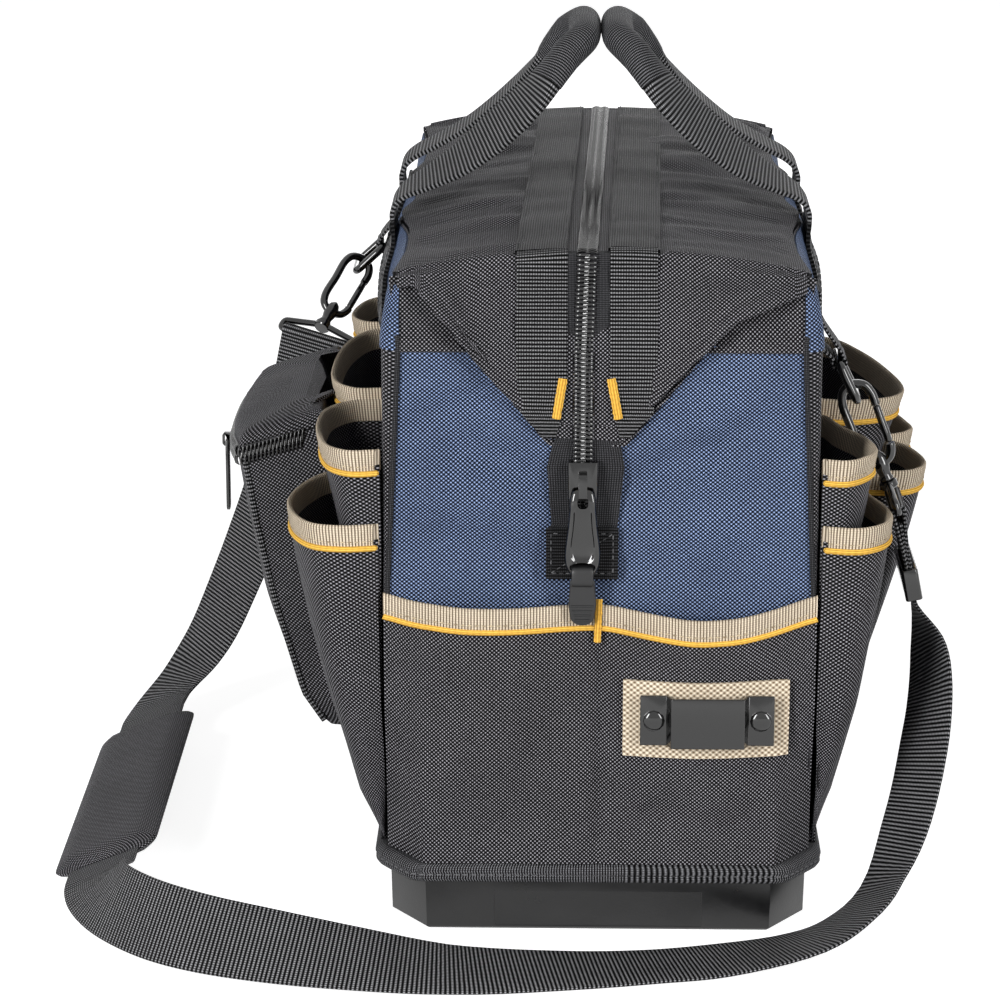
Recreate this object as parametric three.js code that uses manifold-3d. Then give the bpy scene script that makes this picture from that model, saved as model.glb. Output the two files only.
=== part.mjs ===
// Wide-mouth zippered tool bag on a moulded base, with outer pockets, a side pouch, two carry
// handles and a clip-on shoulder strap. Millimetres, +Z up. The end with the tape clip faces -Y,
// the width runs along X and the origin is on the floor under the middle of the bag.
import * as THREE from "three";
import { mergeVertices } from "three/addons/utils/BufferGeometryUtils.js";
import Module from "manifold-3d";

const wasm = await Module();
wasm.setup();

// Driving sizes of the bag body
const GAP = 0.3; // running and sewing clearance between separate pieces
const BODY_LENGTH = 450; // along Y at the foot
const FOOT_WIDTH = 206; // along X just above the base
const SHOULDER_WIDTH = 209; // along X at the top of the sides
const TOP_LENGTH = 404; // along Y at the top
const SIDE_TOP = 318; // height of the sides
const CROWN_HEIGHT = 332; // height of the top along the zip
const CROWN_RISE = 10.5; // how far the top falls towards its sides
const END_TOP = 289; // height of the coloured end panels
const END_LEAN = 8; // how far an end panel leans in over its height
const WALL = 3; // padded fabric
const THIN_WALL = 1.8; // pocket fabric
const SEWN = 0.6; // pocket fabric pressed flat where it is sewn down
const CORNER_X = 18; // cut corner of the plan, along X
const CORNER_Y = 25; // cut corner of the plan, along Y
const CORNER_FADE = 78; // height over which the cut corner squares up

// Driving sizes of the moulded base
const BASE_HEIGHT = 36.5;
const BASE_INSET = 0.8; // the base stands in from the fabric beside it
const BASE_PROUD = 3; // and reaches past the fabric at both ends
const BASE_WALL = 3;
const BASE_FLOOR = 4;
const BASE_TAPER = 0.8;
const BASE_BEVEL = 1.2; // at its foot
const RECESS_WIDTH = 101;
const RECESS_HEIGHT = 18;
const RECESS_DEPTH = 1.2;
const RIM_HEIGHT = 10; // binding tape between base and fabric
const RIM_THICK = 7; // the piled seam is inside it

// Driving sizes of the top, the zip and its webbing
const ZIP_NEAR_X = -7; // the zip runs a little off the middle
const ZIP_FAR_X = 1.5;
const ZIP_WIDTH = 10.4; // closed chain
const ZIP_THICK = 2.4;
const WEBBING_THICK = 1.6;
const TOP_WEBBING_WIDTH = 24.5;
const TOP_WEBBING_INSET = 9.8; // from the zip line to the webbing
const FLAP_GAP = 1.3; // from a flap's end to the folded end panel
const FLAP_INSET = 0.5; // from the side of the body to a flap's hinge
const NOTCH_LEFT = -26.5; // foot of the V in the end panel
const NOTCH_RIGHT = 12.6;
const NOTCH_FLOOR = 244;
const NOTCH_RUN = 41; // width of each sloping side of the V
const TAPE_TAIL_FOOT = 177;
const TAPE_PATCH_TOP = 203;
const TAPE_PATCH_LEFT = -26;
const TAPE_PATCH_RIGHT = 8.5;

// Driving sizes of the zip slider and its pull
const SLIDER_FOOT = 218;
const SLIDER_LENGTH = 18;
const SLIDER_WIDTH = 14;
const SLIDER_PLATE = 2.6;
const BRIDGE_WIDTH = 4;
const BRIDGE_HEIGHT = 6.9;
const PULL_WIDTH = 17;
const PULL_LENGTH = 44;
const PULL_THICK = 2.4;
const TAB_WIDTH = 12;
const TAB_LENGTH = 25;
const TAB_THICK = 3;

// Driving sizes of the end pockets and of the tape clip
const POCKET_MOUTH = 171; // height at the corners
const MOUTH_DROPS = [ // how far the mouth hangs below them, by share of the half width
  [-1, 0], [-0.87, 4.7], [-0.65, 6.7], [-0.2, 5.5], [0.02, 5.7], [0.21, 8.8], [0.43, 11.8],
  [0.65, 10.9], [0.8, 7.6], [0.96, 1.9], [1, 0],
];
const POCKET_BELLY = 7.2; // room at the mouth of an end pocket
const BINDING_HEIGHT = 10.5;
const BINDING_THICK = 3;
const PATCH_EDGE = 13.4; // from the corner of the end to the clip's patch
const CLIP_PATCH = { left: 11.3, right: SHOULDER_WIDTH / 2 - PATCH_EDGE, foot: 91, top: 129 };
const CLIP_PLATE = { left: 19.5, right: 83.7, foot: 98, top: 123 };
const PATCH_THICK = 1.7;
const CLIP_BRIDGE = { left: 33.5, right: 70, rise: 7 };
const CLIP_THICK = 1.6;
const RIVET_RADIUS = 5;

// Driving sizes of the side pouch
const POUCH_NEAR = -105; // its walls, along Y
const POUCH_FAR = 36;
const POUCH_FOOT = 62;
const POUCH_RIM = 208; // at the outer face; it rises towards the bag
const POUCH_RIM_RISE = 0.3;
const POUCH_FACE = 187; // outer face at the rim
const POUCH_SEAT = 136.5; // furthest reach of the upper pocket behind it
const POUCH_HINGE = 139.2;
const LID_HEIGHT = 9.5;
const POUCH_SLIDER_Y = -60;
const POUCH_SLIDER_WIDTH = 12;
const POUCH_SLIDER_HEIGHT = 8.6;
const POUCH_PULL_WIDTH = 8;
const POUCH_PULL_LENGTH = 38;
const POUCH_PULL_THICK = 1.8;

// Driving sizes of the handles
const HANDLE_SPREAD = 52; // from the middle of the bag to each leg, along Y
const STRAP_WIDTH = 38;
const LEG_THICK = 2.4;
const GRIP_RADIUS = 8;
const GRIP_HEIGHT = 408.4;
const GRIP_GAP = 0.8; // between the two grips

// Driving sizes of the strap hardware
const RING_WIRE = 2.2;
const RING_HALF_WIDTH = 15;
const RING_DROP = 20.6;
const RING_TAB_WIDTH = 24;
const RING_Y = 146;
const HOOK_WIRE = 2.2;
const RING_PLAY = 0.9; // between a ring's bar and the hook that hangs on it
const HOOK_HALF_WIDTH = 7.6;
const HOOK_LENGTH = 43;
const HOOK_NECK_RADIUS = 3.6;
const HOOK_NECK_END = 52;
const GATE_TOP = 14; // from the top of the hook
const GATE_FOOT = 33.7;
const GATE_RADIUS = 1.9;
const EYE_WIRE = 1.9;
const EYE_DROP = 64; // from the top of the hook to the bar of its eye
const EYE_HALF_WIDTH = 21.4;
const STRAP_THICK = 1.8;
const STRAP_LOOP = 36; // doubled length behind an eye
const ADJUSTER_FROM = 29; // from the eye
const ADJUSTER_LENGTH = 16;
const ADJUSTER_WIDTH = 46;
const ADJUSTER_DEPTH = 8.4;
const LAID_OUT_HALF = 104.5; // half width of the body that the strap's way is laid out for
const PAD_X = -248; // the shoulder pad's middle, lying on the floor
const PAD_HEIGHT = 13;
const PAD_NEAR = -174; // the shoulder pad's ends, along Y
const PAD_FAR = 36;
const PAD_WIDTH = 56;
const PAD_THICK = 12;

const colours = {
  black: new THREE.MeshStandardMaterial({ color: 0x2b2b2d, roughness: 0.85, metalness: 0 }),
  blue: new THREE.MeshStandardMaterial({ color: 0x34537f, roughness: 0.8, metalness: 0 }),
  tan: new THREE.MeshStandardMaterial({ color: 0xbba78c, roughness: 0.9, metalness: 0 }),
  webbing: new THREE.MeshStandardMaterial({ color: 0x232324, roughness: 0.8, metalness: 0 }),
  moulded: new THREE.MeshStandardMaterial({ color: 0x222223, roughness: 0.5, metalness: 0 }),
  metal: new THREE.MeshStandardMaterial({ color: 0x151516, roughness: 0.25, metalness: 0.8 }),
  rubber: new THREE.MeshStandardMaterial({ color: 0x1d1d1d, roughness: 0.7, metalness: 0 }),
};

const bag = new THREE.Group();

function vec(x, y, z) {
  return new THREE.Vector3(x, y, z);
}

function mix(a, b, t) {
  return a + (b - a) * t;
}

function unit(x, from, to) {
  return Math.min(1, Math.max(0, (x - from) / (to - from)));
}

// A closed body from points and triangles, turned to face outwards
function body(points, index) {
  let volume = 0;
  const cross = new THREE.Vector3();
  for (let i = 0; i < index.length; i += 3) {
    cross.crossVectors(points[index[i + 1]], points[index[i + 2]]);
    volume += points[index[i]].dot(cross);
  }
  if (volume < 0) {
    for (let i = 0; i < index.length; i += 3) {
      [index[i + 1], index[i + 2]] = [index[i + 2], index[i + 1]];
    }
  }
  const geometry = new THREE.BufferGeometry().setFromPoints(points);
  geometry.setIndex(index);
  return geometry;
}

// A body through a row of outlines, with flat ends, or closed on itself
function loft(sections, closed = false) {
  const count = sections[0].length;
  const index = [];
  const spans = closed ? sections.length : sections.length - 1;
  for (let s = 0; s < spans; s += 1) {
    const a = s * count;
    const b = ((s + 1) % sections.length) * count;
    for (let k = 0; k < count; k += 1) {
      const j = (k + 1) % count;
      index.push(a + k, b + k, b + j, a + k, b + j, a + j);
    }
  }
  if (!closed) {
    const end = (sections.length - 1) * count;
    for (let k = 1; k < count - 1; k += 1) {
      index.push(0, k, k + 1, end, end + k + 1, end + k);
    }
  }
  return body(sections.flat(), index);
}

// A sheet between two grids of points with the same rows and columns
function slab(outer, inner) {
  const rows = outer.length;
  const cols = outer[0].length;
  const half = rows * cols;
  const at = (side, r, c) => side * half + r * cols + c;
  const index = [];
  const quad = (a, b, c, d) => index.push(a, b, c, a, c, d);
  for (let r = 0; r < rows - 1; r += 1) {
    for (let c = 0; c < cols - 1; c += 1) {
      quad(at(0, r, c), at(0, r, c + 1), at(0, r + 1, c + 1), at(0, r + 1, c));
      quad(at(1, r, c), at(1, r + 1, c), at(1, r + 1, c + 1), at(1, r, c + 1));
    }
    quad(at(0, r + 1, 0), at(1, r + 1, 0), at(1, r, 0), at(0, r, 0));
    quad(at(0, r, cols - 1), at(1, r, cols - 1), at(1, r + 1, cols - 1), at(0, r + 1, cols - 1));
  }
  for (let c = 0; c < cols - 1; c += 1) {
    quad(at(0, 0, c), at(1, 0, c), at(1, 0, c + 1), at(0, 0, c + 1));
    quad(at(0, rows - 1, c + 1), at(1, rows - 1, c + 1), at(1, rows - 1, c), at(0, rows - 1, c));
  }
  return body([...outer.flat(), ...inner.flat()], index);
}

// A flat outline of [a, b] pairs drawn out along the third axis
function prism(outline, holes, from, to, place) {
  const edge = outline.map(([a, b]) => new THREE.Vector2(a, b));
  if (THREE.ShapeUtils.area(edge) < 0) edge.reverse();
  const shape = new THREE.Shape(edge);
  for (const hole of holes) {
    shape.holes.push(new THREE.Path(hole.map(([a, b]) => new THREE.Vector2(a, b))));
  }
  const geometry = new THREE.ExtrudeGeometry(shape, { depth: to - from, bevelEnabled: false });
  const position = geometry.getAttribute("position");
  for (let i = 0; i < position.count; i += 1) {
    const p = place(position.getX(i), position.getY(i), position.getZ(i) + from);
    position.setXYZ(i, p.x, p.y, p.z);
  }
  geometry.deleteAttribute("normal");
  geometry.deleteAttribute("uv");
  const merged = mergeVertices(geometry, 1e-4);
  const points = [];
  const shared = merged.getAttribute("position");
  for (let i = 0; i < shared.count; i += 1) {
    points.push(vec(shared.getX(i), shared.getY(i), shared.getZ(i)));
  }
  return body(points, Array.from(merged.index.array));
}

function ellipse(count, a, b, turn = 0) {
  const outline = [];
  for (let k = 0; k < count; k += 1) {
    const angle = turn + (2 * Math.PI * k) / count;
    outline.push([a * Math.cos(angle), b * Math.sin(angle)]);
  }
  return outline;
}

// A round or flat section carried along points, with a side vector for each point
function sweep(points, sides, outline, closed = false) {
  const sections = points.map((point, i) => {
    const before = points[closed ? (i + points.length - 1) % points.length : Math.max(0, i - 1)];
    const after = points[closed ? (i + 1) % points.length : Math.min(points.length - 1, i + 1)];
    const along = after.clone().sub(before).normalize();
    const side = sides(i).clone();
    side.addScaledVector(along, -side.dot(along)).normalize();
    const up = along.clone().cross(side);
    const shape = typeof outline === "function" ? outline(i) : outline;
    return shape.map(([a, b]) => point.clone().addScaledVector(side, a).addScaledVector(up, b));
  });
  return loft(sections, closed);
}

function solid(geometry) {
  const bare = geometry.clone();
  bare.deleteAttribute("normal");
  bare.deleteAttribute("uv");
  const merged = mergeVertices(bare, 1e-4);
  const vertProperties = new Float32Array(merged.getAttribute("position").array);
  const triVerts = new Uint32Array(merged.index.array);
  return new wasm.Manifold(new wasm.Mesh({ numProp: 3, vertProperties, triVerts }));
}

function geometryOf(manifold) {
  const mesh = manifold.getMesh();
  const points = [];
  for (let i = 0; i < mesh.vertProperties.length; i += mesh.numProp) {
    const [x, y, z] = mesh.vertProperties.slice(i, i + 3);
    points.push(vec(x, y, z));
  }
  return body(points, Array.from(mesh.triVerts));
}

function box(x0, x1, y0, y1, z0, z1) {
  const geometry = new THREE.BoxGeometry(x1 - x0, y1 - y0, z1 - z0);
  return geometry.translate((x0 + x1) / 2, (y0 + y1) / 2, (z0 + z1) / 2);
}

function add(name, geometry, material) {
  const mesh = new THREE.Mesh(geometry, material);
  mesh.name = name;
  bag.add(mesh);
  return mesh;
}

// Where the outer fabric lies
function halfWidth(z) {
  return mix(FOOT_WIDTH, SHOULDER_WIDTH, unit(z, BASE_HEIGHT, SIDE_TOP)) / 2;
}

function crown(x) {
  return CROWN_HEIGHT - CROWN_RISE * (x / (SHOULDER_WIDTH / 2)) ** 2;
}

function endReach(z) {
  const low = BODY_LENGTH / 2;
  if (z <= END_TOP) return low - END_LEAN * unit(z, BASE_HEIGHT, END_TOP);
  const t = unit(z, END_TOP, CROWN_HEIGHT - CROWN_RISE);
  return mix(low - END_LEAN, TOP_LENGTH / 2, t * t * 0.6 + t * 0.4);
}

function cornerCut(x, z) {
  const fade = 1 - unit(z, BASE_HEIGHT, BASE_HEIGHT + CORNER_FADE);
  const start = halfWidth(z) - CORNER_X;
  return CORNER_Y * fade * unit(Math.abs(x), start, start + CORNER_X);
}

// A point over an end panel: side is -1 at the near end, proud is the height over the fabric
function onEnd(side, x, z, proud) {
  return vec(x, side * (endReach(z) - cornerCut(x, z) + proud), z);
}

function zipX(y) {
  return mix(ZIP_NEAR_X, ZIP_FAR_X, (y + TOP_LENGTH / 2) / TOP_LENGTH);
}

function octagon(halfX, halfY, cutX, cutY, z) {
  return [
    vec(halfX - cutX, -halfY, z), vec(halfX, -halfY + cutY, z),
    vec(halfX, halfY - cutY, z), vec(halfX - cutX, halfY, z),
    vec(-halfX + cutX, halfY, z), vec(-halfX, halfY - cutY, z),
    vec(-halfX, -halfY + cutY, z), vec(-halfX + cutX, -halfY, z),
  ];
}

function baseRing(inset, z) {
  const halfX = FOOT_WIDTH / 2 - inset;
  const halfY = BODY_LENGTH / 2 + BASE_PROUD - inset;
  return octagon(halfX, halfY, CORNER_X, CORNER_Y, z);
}

function makeBase() {
  const foot = BASE_INSET + BASE_TAPER;
  const inner = BASE_INSET + BASE_WALL;
  const tub = solid(loft([
    baseRing(foot + BASE_BEVEL, 0), baseRing(foot, BASE_BEVEL), baseRing(BASE_INSET, BASE_HEIGHT),
    baseRing(inner, BASE_HEIGHT), baseRing(inner + BASE_TAPER, BASE_FLOOR),
  ]));
  const reach = BODY_LENGTH / 2 + BASE_PROUD - BASE_INSET - RECESS_DEPTH;
  const half = RECESS_WIDTH / 2;
  const near = solid(box(-half, half, -reach - 10, -reach, 2, 2 + RECESS_HEIGHT));
  const far = solid(box(-half, half, reach, reach + 10, 2, 2 + RECESS_HEIGHT));
  add("base_tray", geometryOf(tub.subtract(near).subtract(far)), colours.moulded);
  const board = BASE_INSET + BASE_WALL + BASE_TAPER + 0.6;
  const foot0 = BASE_FLOOR + GAP;
  add("floor_board", loft([baseRing(board, foot0), baseRing(board, foot0 + 3)]), colours.moulded);
}

function makeRim() {
  const foot = BASE_HEIGHT - RIM_HEIGHT;
  const inner = BASE_INSET - GAP;
  const outer = inner - RIM_THICK;
  const ring = [];
  const corners = baseRing(0, 0).length;
  for (let k = 0; k < corners; k += 1) {
    ring.push([
      baseRing(outer, foot)[k], baseRing(outer, BASE_HEIGHT)[k],
      baseRing(inner, BASE_HEIGHT)[k], baseRing(inner, foot)[k],
    ]);
  }
  add("base_rim_binding", loft(ring, true), colours.webbing);
}

// Height of the coloured end panel, with the V for the zip cut into it
function endPanelTop(x) {
  const left = unit(x, NOTCH_LEFT, NOTCH_LEFT - NOTCH_RUN);
  const right = unit(x, NOTCH_RIGHT, NOTCH_RIGHT + NOTCH_RUN);
  return mix(NOTCH_FLOOR, END_TOP, x < 0 ? left : right);
}

// Columns are set out for the widest place, and the outer ones move in where the body is narrower
function columnX(x, z) {
  const full = SHOULDER_WIDTH / 2;
  if (Math.abs(x) < full - CORNER_X - 1) return x;
  return x - Math.sign(x) * (full - halfWidth(z));
}

function cornerColumns() {
  const full = SHOULDER_WIDTH / 2;
  return [full - CORNER_X, full - PATCH_EDGE, full - WALL - GAP];
}

function endColumns() {
  const corner = cornerColumns();
  const middle = [NOTCH_LEFT - NOTCH_RUN, -47, NOTCH_LEFT, -7, NOTCH_RIGHT, 33];
  const left = corner.map((x) => -x).reverse();
  return [...left, ...middle, NOTCH_RIGHT + NOTCH_RUN, ...corner];
}

// Heights at which the cut corner bends, with the heights above them spread up to a top
function endLevels(foot, top, steps) {
  const squared = BASE_HEIGHT + CORNER_FADE;
  const upper = steps.map((t) => mix(squared, top, t));
  return [foot, CLIP_PATCH.foot, squared, ...upper];
}

function makeEndPanel(name, side) {
  const columns = endColumns().map((x) => {
    const levels = endLevels(BASE_HEIGHT + GAP, endPanelTop(x) - GAP / 2, [0.3, 0.65, 1]);
    return levels.map((z) => [columnX(x, z), z]);
  });
  const grid = (proud) => columns.map((column) => column.map(([x, z]) => onEnd(side, x, z, proud)));
  add(name, slab(grid(0), grid(-WALL)), colours.blue);
}

const HIP_STEPS = [0, 0.25, 0.5, 0.75, 0.93, 1];

// The folded top of an end, which fills the V and closes up to the flaps
function makeHip(name, side) {
  const raised = (x) => (x > -45 && x < 34 ? WEBBING_THICK : 0);
  const columns = endColumns().map((x) => {
    const upper = HIP_STEPS.map((t) => mix(END_TOP + 1, crown(x), t));
    return [endPanelTop(x) + GAP / 2, ...upper].map((z, k) => [x, z, k]);
  });
  const grid = (depth) => columns.map((column) => column.map(([x, z, k]) => {
    const point = onEnd(side, columnX(x, z), z, raised(x));
    point.y -= side * depth * 2.2;
    point.z -= depth * (k > 4 ? 1.4 : 0.1 * k);
    return point;
  }));
  add(name, slab(grid(0), grid(1)), colours.black);
}

function makeSidePanel(name, side) {
  const foot = BASE_HEIGHT + GAP;
  const levels = endLevels(foot, SIDE_TOP, [0.5, (END_TOP - 114) / (SIDE_TOP - 114), 0.93, 1]);
  const grid = (inset) => levels.map((z) => {
    const x = halfWidth(z) - inset;
    const reach = endReach(z) - cornerCut(halfWidth(z), z);
    return [-1, -0.5, 0, 0.5, 1].map((u) => vec(side * x, u * reach, z));
  });
  add(name, slab(grid(0), grid(WALL)), colours.black);
}

// One half of the top, from its hinge line at the side to the zip
function makeFlap(side) {
  const end = TOP_LENGTH / 2 - FLAP_GAP - 2.2;
  const ys = [-1, -0.33, 0.33, 1].map((u) => u * end);
  const hinge = SHOULDER_WIDTH / 2 - FLAP_INSET;
  const strip = (from, to, low, high) => {
    const grid = (lift) => ys.map((y) => [0, 0.25, 0.5, 0.75, 1].map((t) => {
      const x = mix(from(y), to(y), t);
      return vec(x, y, crown(x) + lift);
    }));
    return slab(grid(high), grid(low));
  };
  const offset = (distance) => (y) => zipX(y) + side * distance;
  const word = side < 0 ? "left" : "right";
  const edge = ZIP_WIDTH / 2;
  const flap = strip(() => side * hinge, offset(edge + GAP), -WALL, 0);
  add(`top_flap_${word}`, flap, colours.black);
  const zip = strip(offset(edge), offset(GAP / 2), -ZIP_THICK, ZIP_THICK / 2);
  add(`zip_half_${word}`, zip, colours.metal);
  const near = offset(TOP_WEBBING_INSET);
  const far = offset(TOP_WEBBING_INSET + TOP_WEBBING_WIDTH);
  const webbing = strip(far, near, GAP, GAP + WEBBING_THICK);
  add(`top_webbing_${word}`, webbing, colours.webbing);
}

// Tape tail and box-stitched patch that finish the zip on the near end
function makeZipTail() {
  const left = TAPE_PATCH_LEFT;
  const right = TAPE_PATCH_RIGHT;
  const rows = [
    [TAPE_TAIL_FOOT, left, right], [TAPE_PATCH_TOP, left, right],
    [TAPE_PATCH_TOP + 0.4, left + 3, right - 0.5], [NOTCH_FLOOR - 1, NOTCH_LEFT, NOTCH_RIGHT],
  ];
  const grid = (proud) => rows.map(([z, a, b]) => [0, 0.5, 1].map((t) => {
    return onEnd(-1, mix(a, b, t), z, proud);
  }));
  add("near_zip_tail", slab(grid(GAP + 1.3), grid(GAP)), colours.webbing);
}

const CHAIN_BACK = GAP + WEBBING_THICK + GAP;
const CHAIN_FRONT = CHAIN_BACK + ZIP_THICK;
const SLIDER_X = ZIP_NEAR_X - 1.5;

function makeZipChain() {
  const upper = HIP_STEPS.map((t) => mix(END_TOP + 1, CROWN_HEIGHT, t));
  const levels = [TAPE_PATCH_TOP - 2, SLIDER_FOOT + 2, ...upper];
  const half = ZIP_WIDTH / 2;
  const grid = (proud) => levels.map((z) => {
    const middle = mix(SLIDER_X, ZIP_NEAR_X, unit(z, END_TOP, CROWN_HEIGHT));
    return [-half, half].map((dx) => onEnd(-1, middle + dx, z, proud));
  });
  add("near_zip_chain", slab(grid(CHAIN_FRONT), grid(CHAIN_BACK)), colours.metal);
}

// The slider's own frame: a runs along X, b stands off the fabric, c runs up the zip
const SLIDER_TOP = SLIDER_FOOT + SLIDER_LENGTH;
const PLATE_FRONT = CHAIN_FRONT + GAP + SLIDER_PLATE;
const PULL_PIVOT_B = PLATE_FRONT + (BRIDGE_HEIGHT - 1) / 2;
const PULL_PIVOT_Z = SLIDER_FOOT + 4.6;

function offZip(a, b, z) {
  return vec(SLIDER_X + a, -(endReach(z) + b), z);
}

function makeSlider() {
  const half = SLIDER_WIDTH / 2;
  const inner = ZIP_WIDTH / 2 + GAP + 0.2;
  const back = CHAIN_BACK + 0.2;
  const front = PLATE_FRONT;
  const channel = [
    [-half, back], [-inner, back], [-inner, CHAIN_FRONT + GAP], [inner, CHAIN_FRONT + GAP],
    [inner, back], [half, back], [half, front - 1], [half - 1, front], [-half + 1, front],
    [-half, front - 1],
  ];
  const plate = prism(channel, [], SLIDER_FOOT, SLIDER_TOP, offZip);
  const low = SLIDER_FOOT + 1;
  const high = SLIDER_FOOT + 13.5;
  const top = front + BRIDGE_HEIGHT;
  const arch = [[low, front - 1], [low, top - 1.5], [low + 1.5, top], [high - 1.5, top]];
  arch.push([high, top - 1.5], [high, front - 1]);
  const eye = [[low + 1.7, front + 0.2], [low + 1.7, top - 1.2], [high - 1.7, top - 1.2]];
  eye.push([high - 1.7, front + 0.2]);
  const across = (z, b, a) => offZip(a, b, z);
  const bridge = prism(arch, [eye], -BRIDGE_WIDTH / 2, BRIDGE_WIDTH / 2, across);
  add("main_slider", geometryOf(solid(plate).add(solid(bridge))), colours.metal);
}

// The pull hangs straight down from the slider's bridge
const PULL_PLANE = endReach(PULL_PIVOT_Z) + PULL_PIVOT_B;
const TAB_PIVOT_Z = PULL_PIVOT_Z + 1.2 - PULL_LENGTH + 2;

function makePull() {
  const half = PULL_WIDTH / 2;
  const top = PULL_PIVOT_Z + 1.2;
  const foot = top - PULL_LENGTH;
  const outline = [
    [-4.2, top], [4.2, top], [5.4, top - 3], [5.8, top - 10], [half, top - 20], [half, foot + 6],
    [half - 2.5, foot + 1.5], [half - 4.5, foot], [-half + 4.5, foot], [-half + 2.5, foot + 1.5],
    [-half, foot + 6], [-half, top - 20], [-5.8, top - 10], [-5.4, top - 3],
  ];
  const clear = BRIDGE_WIDTH / 2 + 0.5;
  const eye = [[-clear, top - 2.4], [clear, top - 2.4], [clear, top - 9.4], [-clear, top - 9.4]];
  const slot = TAB_WIDTH / 2 + 0.4;
  const window = [[-slot, foot + 4], [slot, foot + 4], [slot, foot + 8.4], [-slot, foot + 8.4]];
  const place = (x, z, y) => vec(SLIDER_X + x, -PULL_PLANE + y, z);
  const t = PULL_THICK / 2;
  add("main_pull", prism(outline, [eye, window], -t, t, place), colours.metal);
}

function makePullTab() {
  const out = 4.1;
  const t = TAB_THICK / 2;
  const z = TAB_PIVOT_Z;
  const outline = [
    [-out + 2, z + 3.9], [out - 2, z + 3.9], [out, z + 1.8], [out, z - 3.4], [t, z - 6],
    [t, z - TAB_LENGTH + 1], [t - 1, z - TAB_LENGTH], [-t + 1, z - TAB_LENGTH],
    [-t, z - TAB_LENGTH + 1], [-t, z - 6], [-out, z - 3.4], [-out, z + 1.8],
  ];
  const bore = 2.6;
  const hole = [[-bore, z - bore], [bore, z - bore], [bore, z + bore], [-bore, z + bore]];
  const half = TAB_WIDTH / 2;
  const place = (y, height, x) => vec(SLIDER_X + x, -PULL_PLANE + y, height);
  add("pull_tab", prism(outline, [hole], -half, half, place), colours.rubber);
}

// End pockets: two compartments side by side, with a bound mouth
function mouthLine(x) {
  const u = Math.min(1, Math.max(-1, x / (SHOULDER_WIDTH / 2)));
  const next = MOUTH_DROPS.findIndex(([share]) => share >= u && share > -1);
  const [[from, drop], [to, far]] = [MOUTH_DROPS[next - 1], MOUTH_DROPS[next]];
  return POCKET_MOUTH - mix(drop, far, unit(u, from, to));
}

function belly(x, z) {
  const u = Math.min(1, Math.abs(x) / (halfWidth(z) - CORNER_X / 2));
  const wave = Math.max(0, Math.sin(Math.PI * u)) ** 1.6;
  return POCKET_BELLY * wave * Math.sqrt(unit(z, BASE_HEIGHT, POCKET_MOUTH - 40));
}

function pocketColumns() {
  const corner = [...cornerColumns(), SHOULDER_WIDTH / 2];
  const reach = corner[0];
  const middle = Array.from({ length: 11 }, (_, k) => mix(-reach, reach, (k + 1) / 12));
  return [...corner.map((x) => -x).reverse(), ...middle, ...corner];
}

function makeEndPocket(word, side) {
  const wall = (levels, thick) => {
    const columns = pocketColumns().map((x) => levels(x).map((z) => [columnX(x, z), z]));
    const grid = (proud) => columns.map((column) => column.map(([x, z]) => {
      return onEnd(side, x, z, GAP + belly(x, z) + proud);
    }));
    return slab(grid(thick), grid(0));
  };
  const bindingFoot = (x) => mouthLine(x) - BINDING_HEIGHT;
  const panel = wall((x) => endLevels(BASE_HEIGHT + GAP, bindingFoot(x) - GAP, [1]), THIN_WALL);
  add(`${word}_end_pocket`, panel, colours.black);
  const trim = wall((x) => [bindingFoot(x), mouthLine(x)], BINDING_THICK);
  add(`${word}_end_pocket_binding`, trim, colours.tan);
}

// Spring clip for a roll of tape on its webbing patch
function pocketFace(x, z, proud) {
  return onEnd(-1, x, z, GAP + THIN_WALL + belly(x, z) + proud);
}

function makeTapeClip() {
  const inside = pocketColumns().filter((x) => x > CLIP_PATCH.left + 2 && x < CLIP_PATCH.right - 2);
  const across = [CLIP_PATCH.left, ...inside, CLIP_PATCH.right];
  const levels = [CLIP_PATCH.foot, BASE_HEIGHT + CORNER_FADE, CLIP_PATCH.top];
  const patch = (proud) => across.map((x) => levels.map((z) => {
    return pocketFace(columnX(x, z), z, proud);
  }));
  add("tape_clip_patch", slab(patch(GAP + PATCH_THICK), patch(GAP)), colours.tan);
  const { left, right, foot, top } = CLIP_PLATE;
  const seats = [left, CLIP_BRIDGE.left, CLIP_BRIDGE.right, right].map((x) => {
    return -pocketFace(x, foot, 2 * GAP + PATCH_THICK).y;
  });
  const plateY = Math.max(...seats);
  const b = CLIP_BRIDGE;
  const t = CLIP_THICK;
  const strip = [
    [left, 0], [b.left, 0], [b.left + 2, b.rise - t], [b.right - 2, b.rise - t], [b.right, 0],
    [right, 0], [right, t], [b.right + 1.4, t], [b.right - 0.8, b.rise], [b.left + 0.8, b.rise],
    [b.left - 1.4, t], [left, t],
  ];
  const place = (x, out, z) => vec(x, -(plateY + out), z);
  let clip = solid(prism(strip, [], foot, top, place));
  const height = (foot + top) / 2;
  for (const x of [(left + b.left) / 2 - 0.5, (right + b.right) / 2 + 0.5]) {
    const disc = ellipse(12, RIVET_RADIUS, RIVET_RADIUS);
    const cap = disc.map(([a, c]) => [a * 0.7, c * 0.7]);
    const ring = (shape, out) => shape.map(([a, c]) => vec(x + a, -(plateY + out), height + c));
    clip = clip.add(solid(loft([ring(disc, t / 2), ring(disc, t + 0.9), ring(cap, t + 1.7)])));
  }
  add("tape_clip", geometryOf(clip), colours.metal);
}

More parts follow.
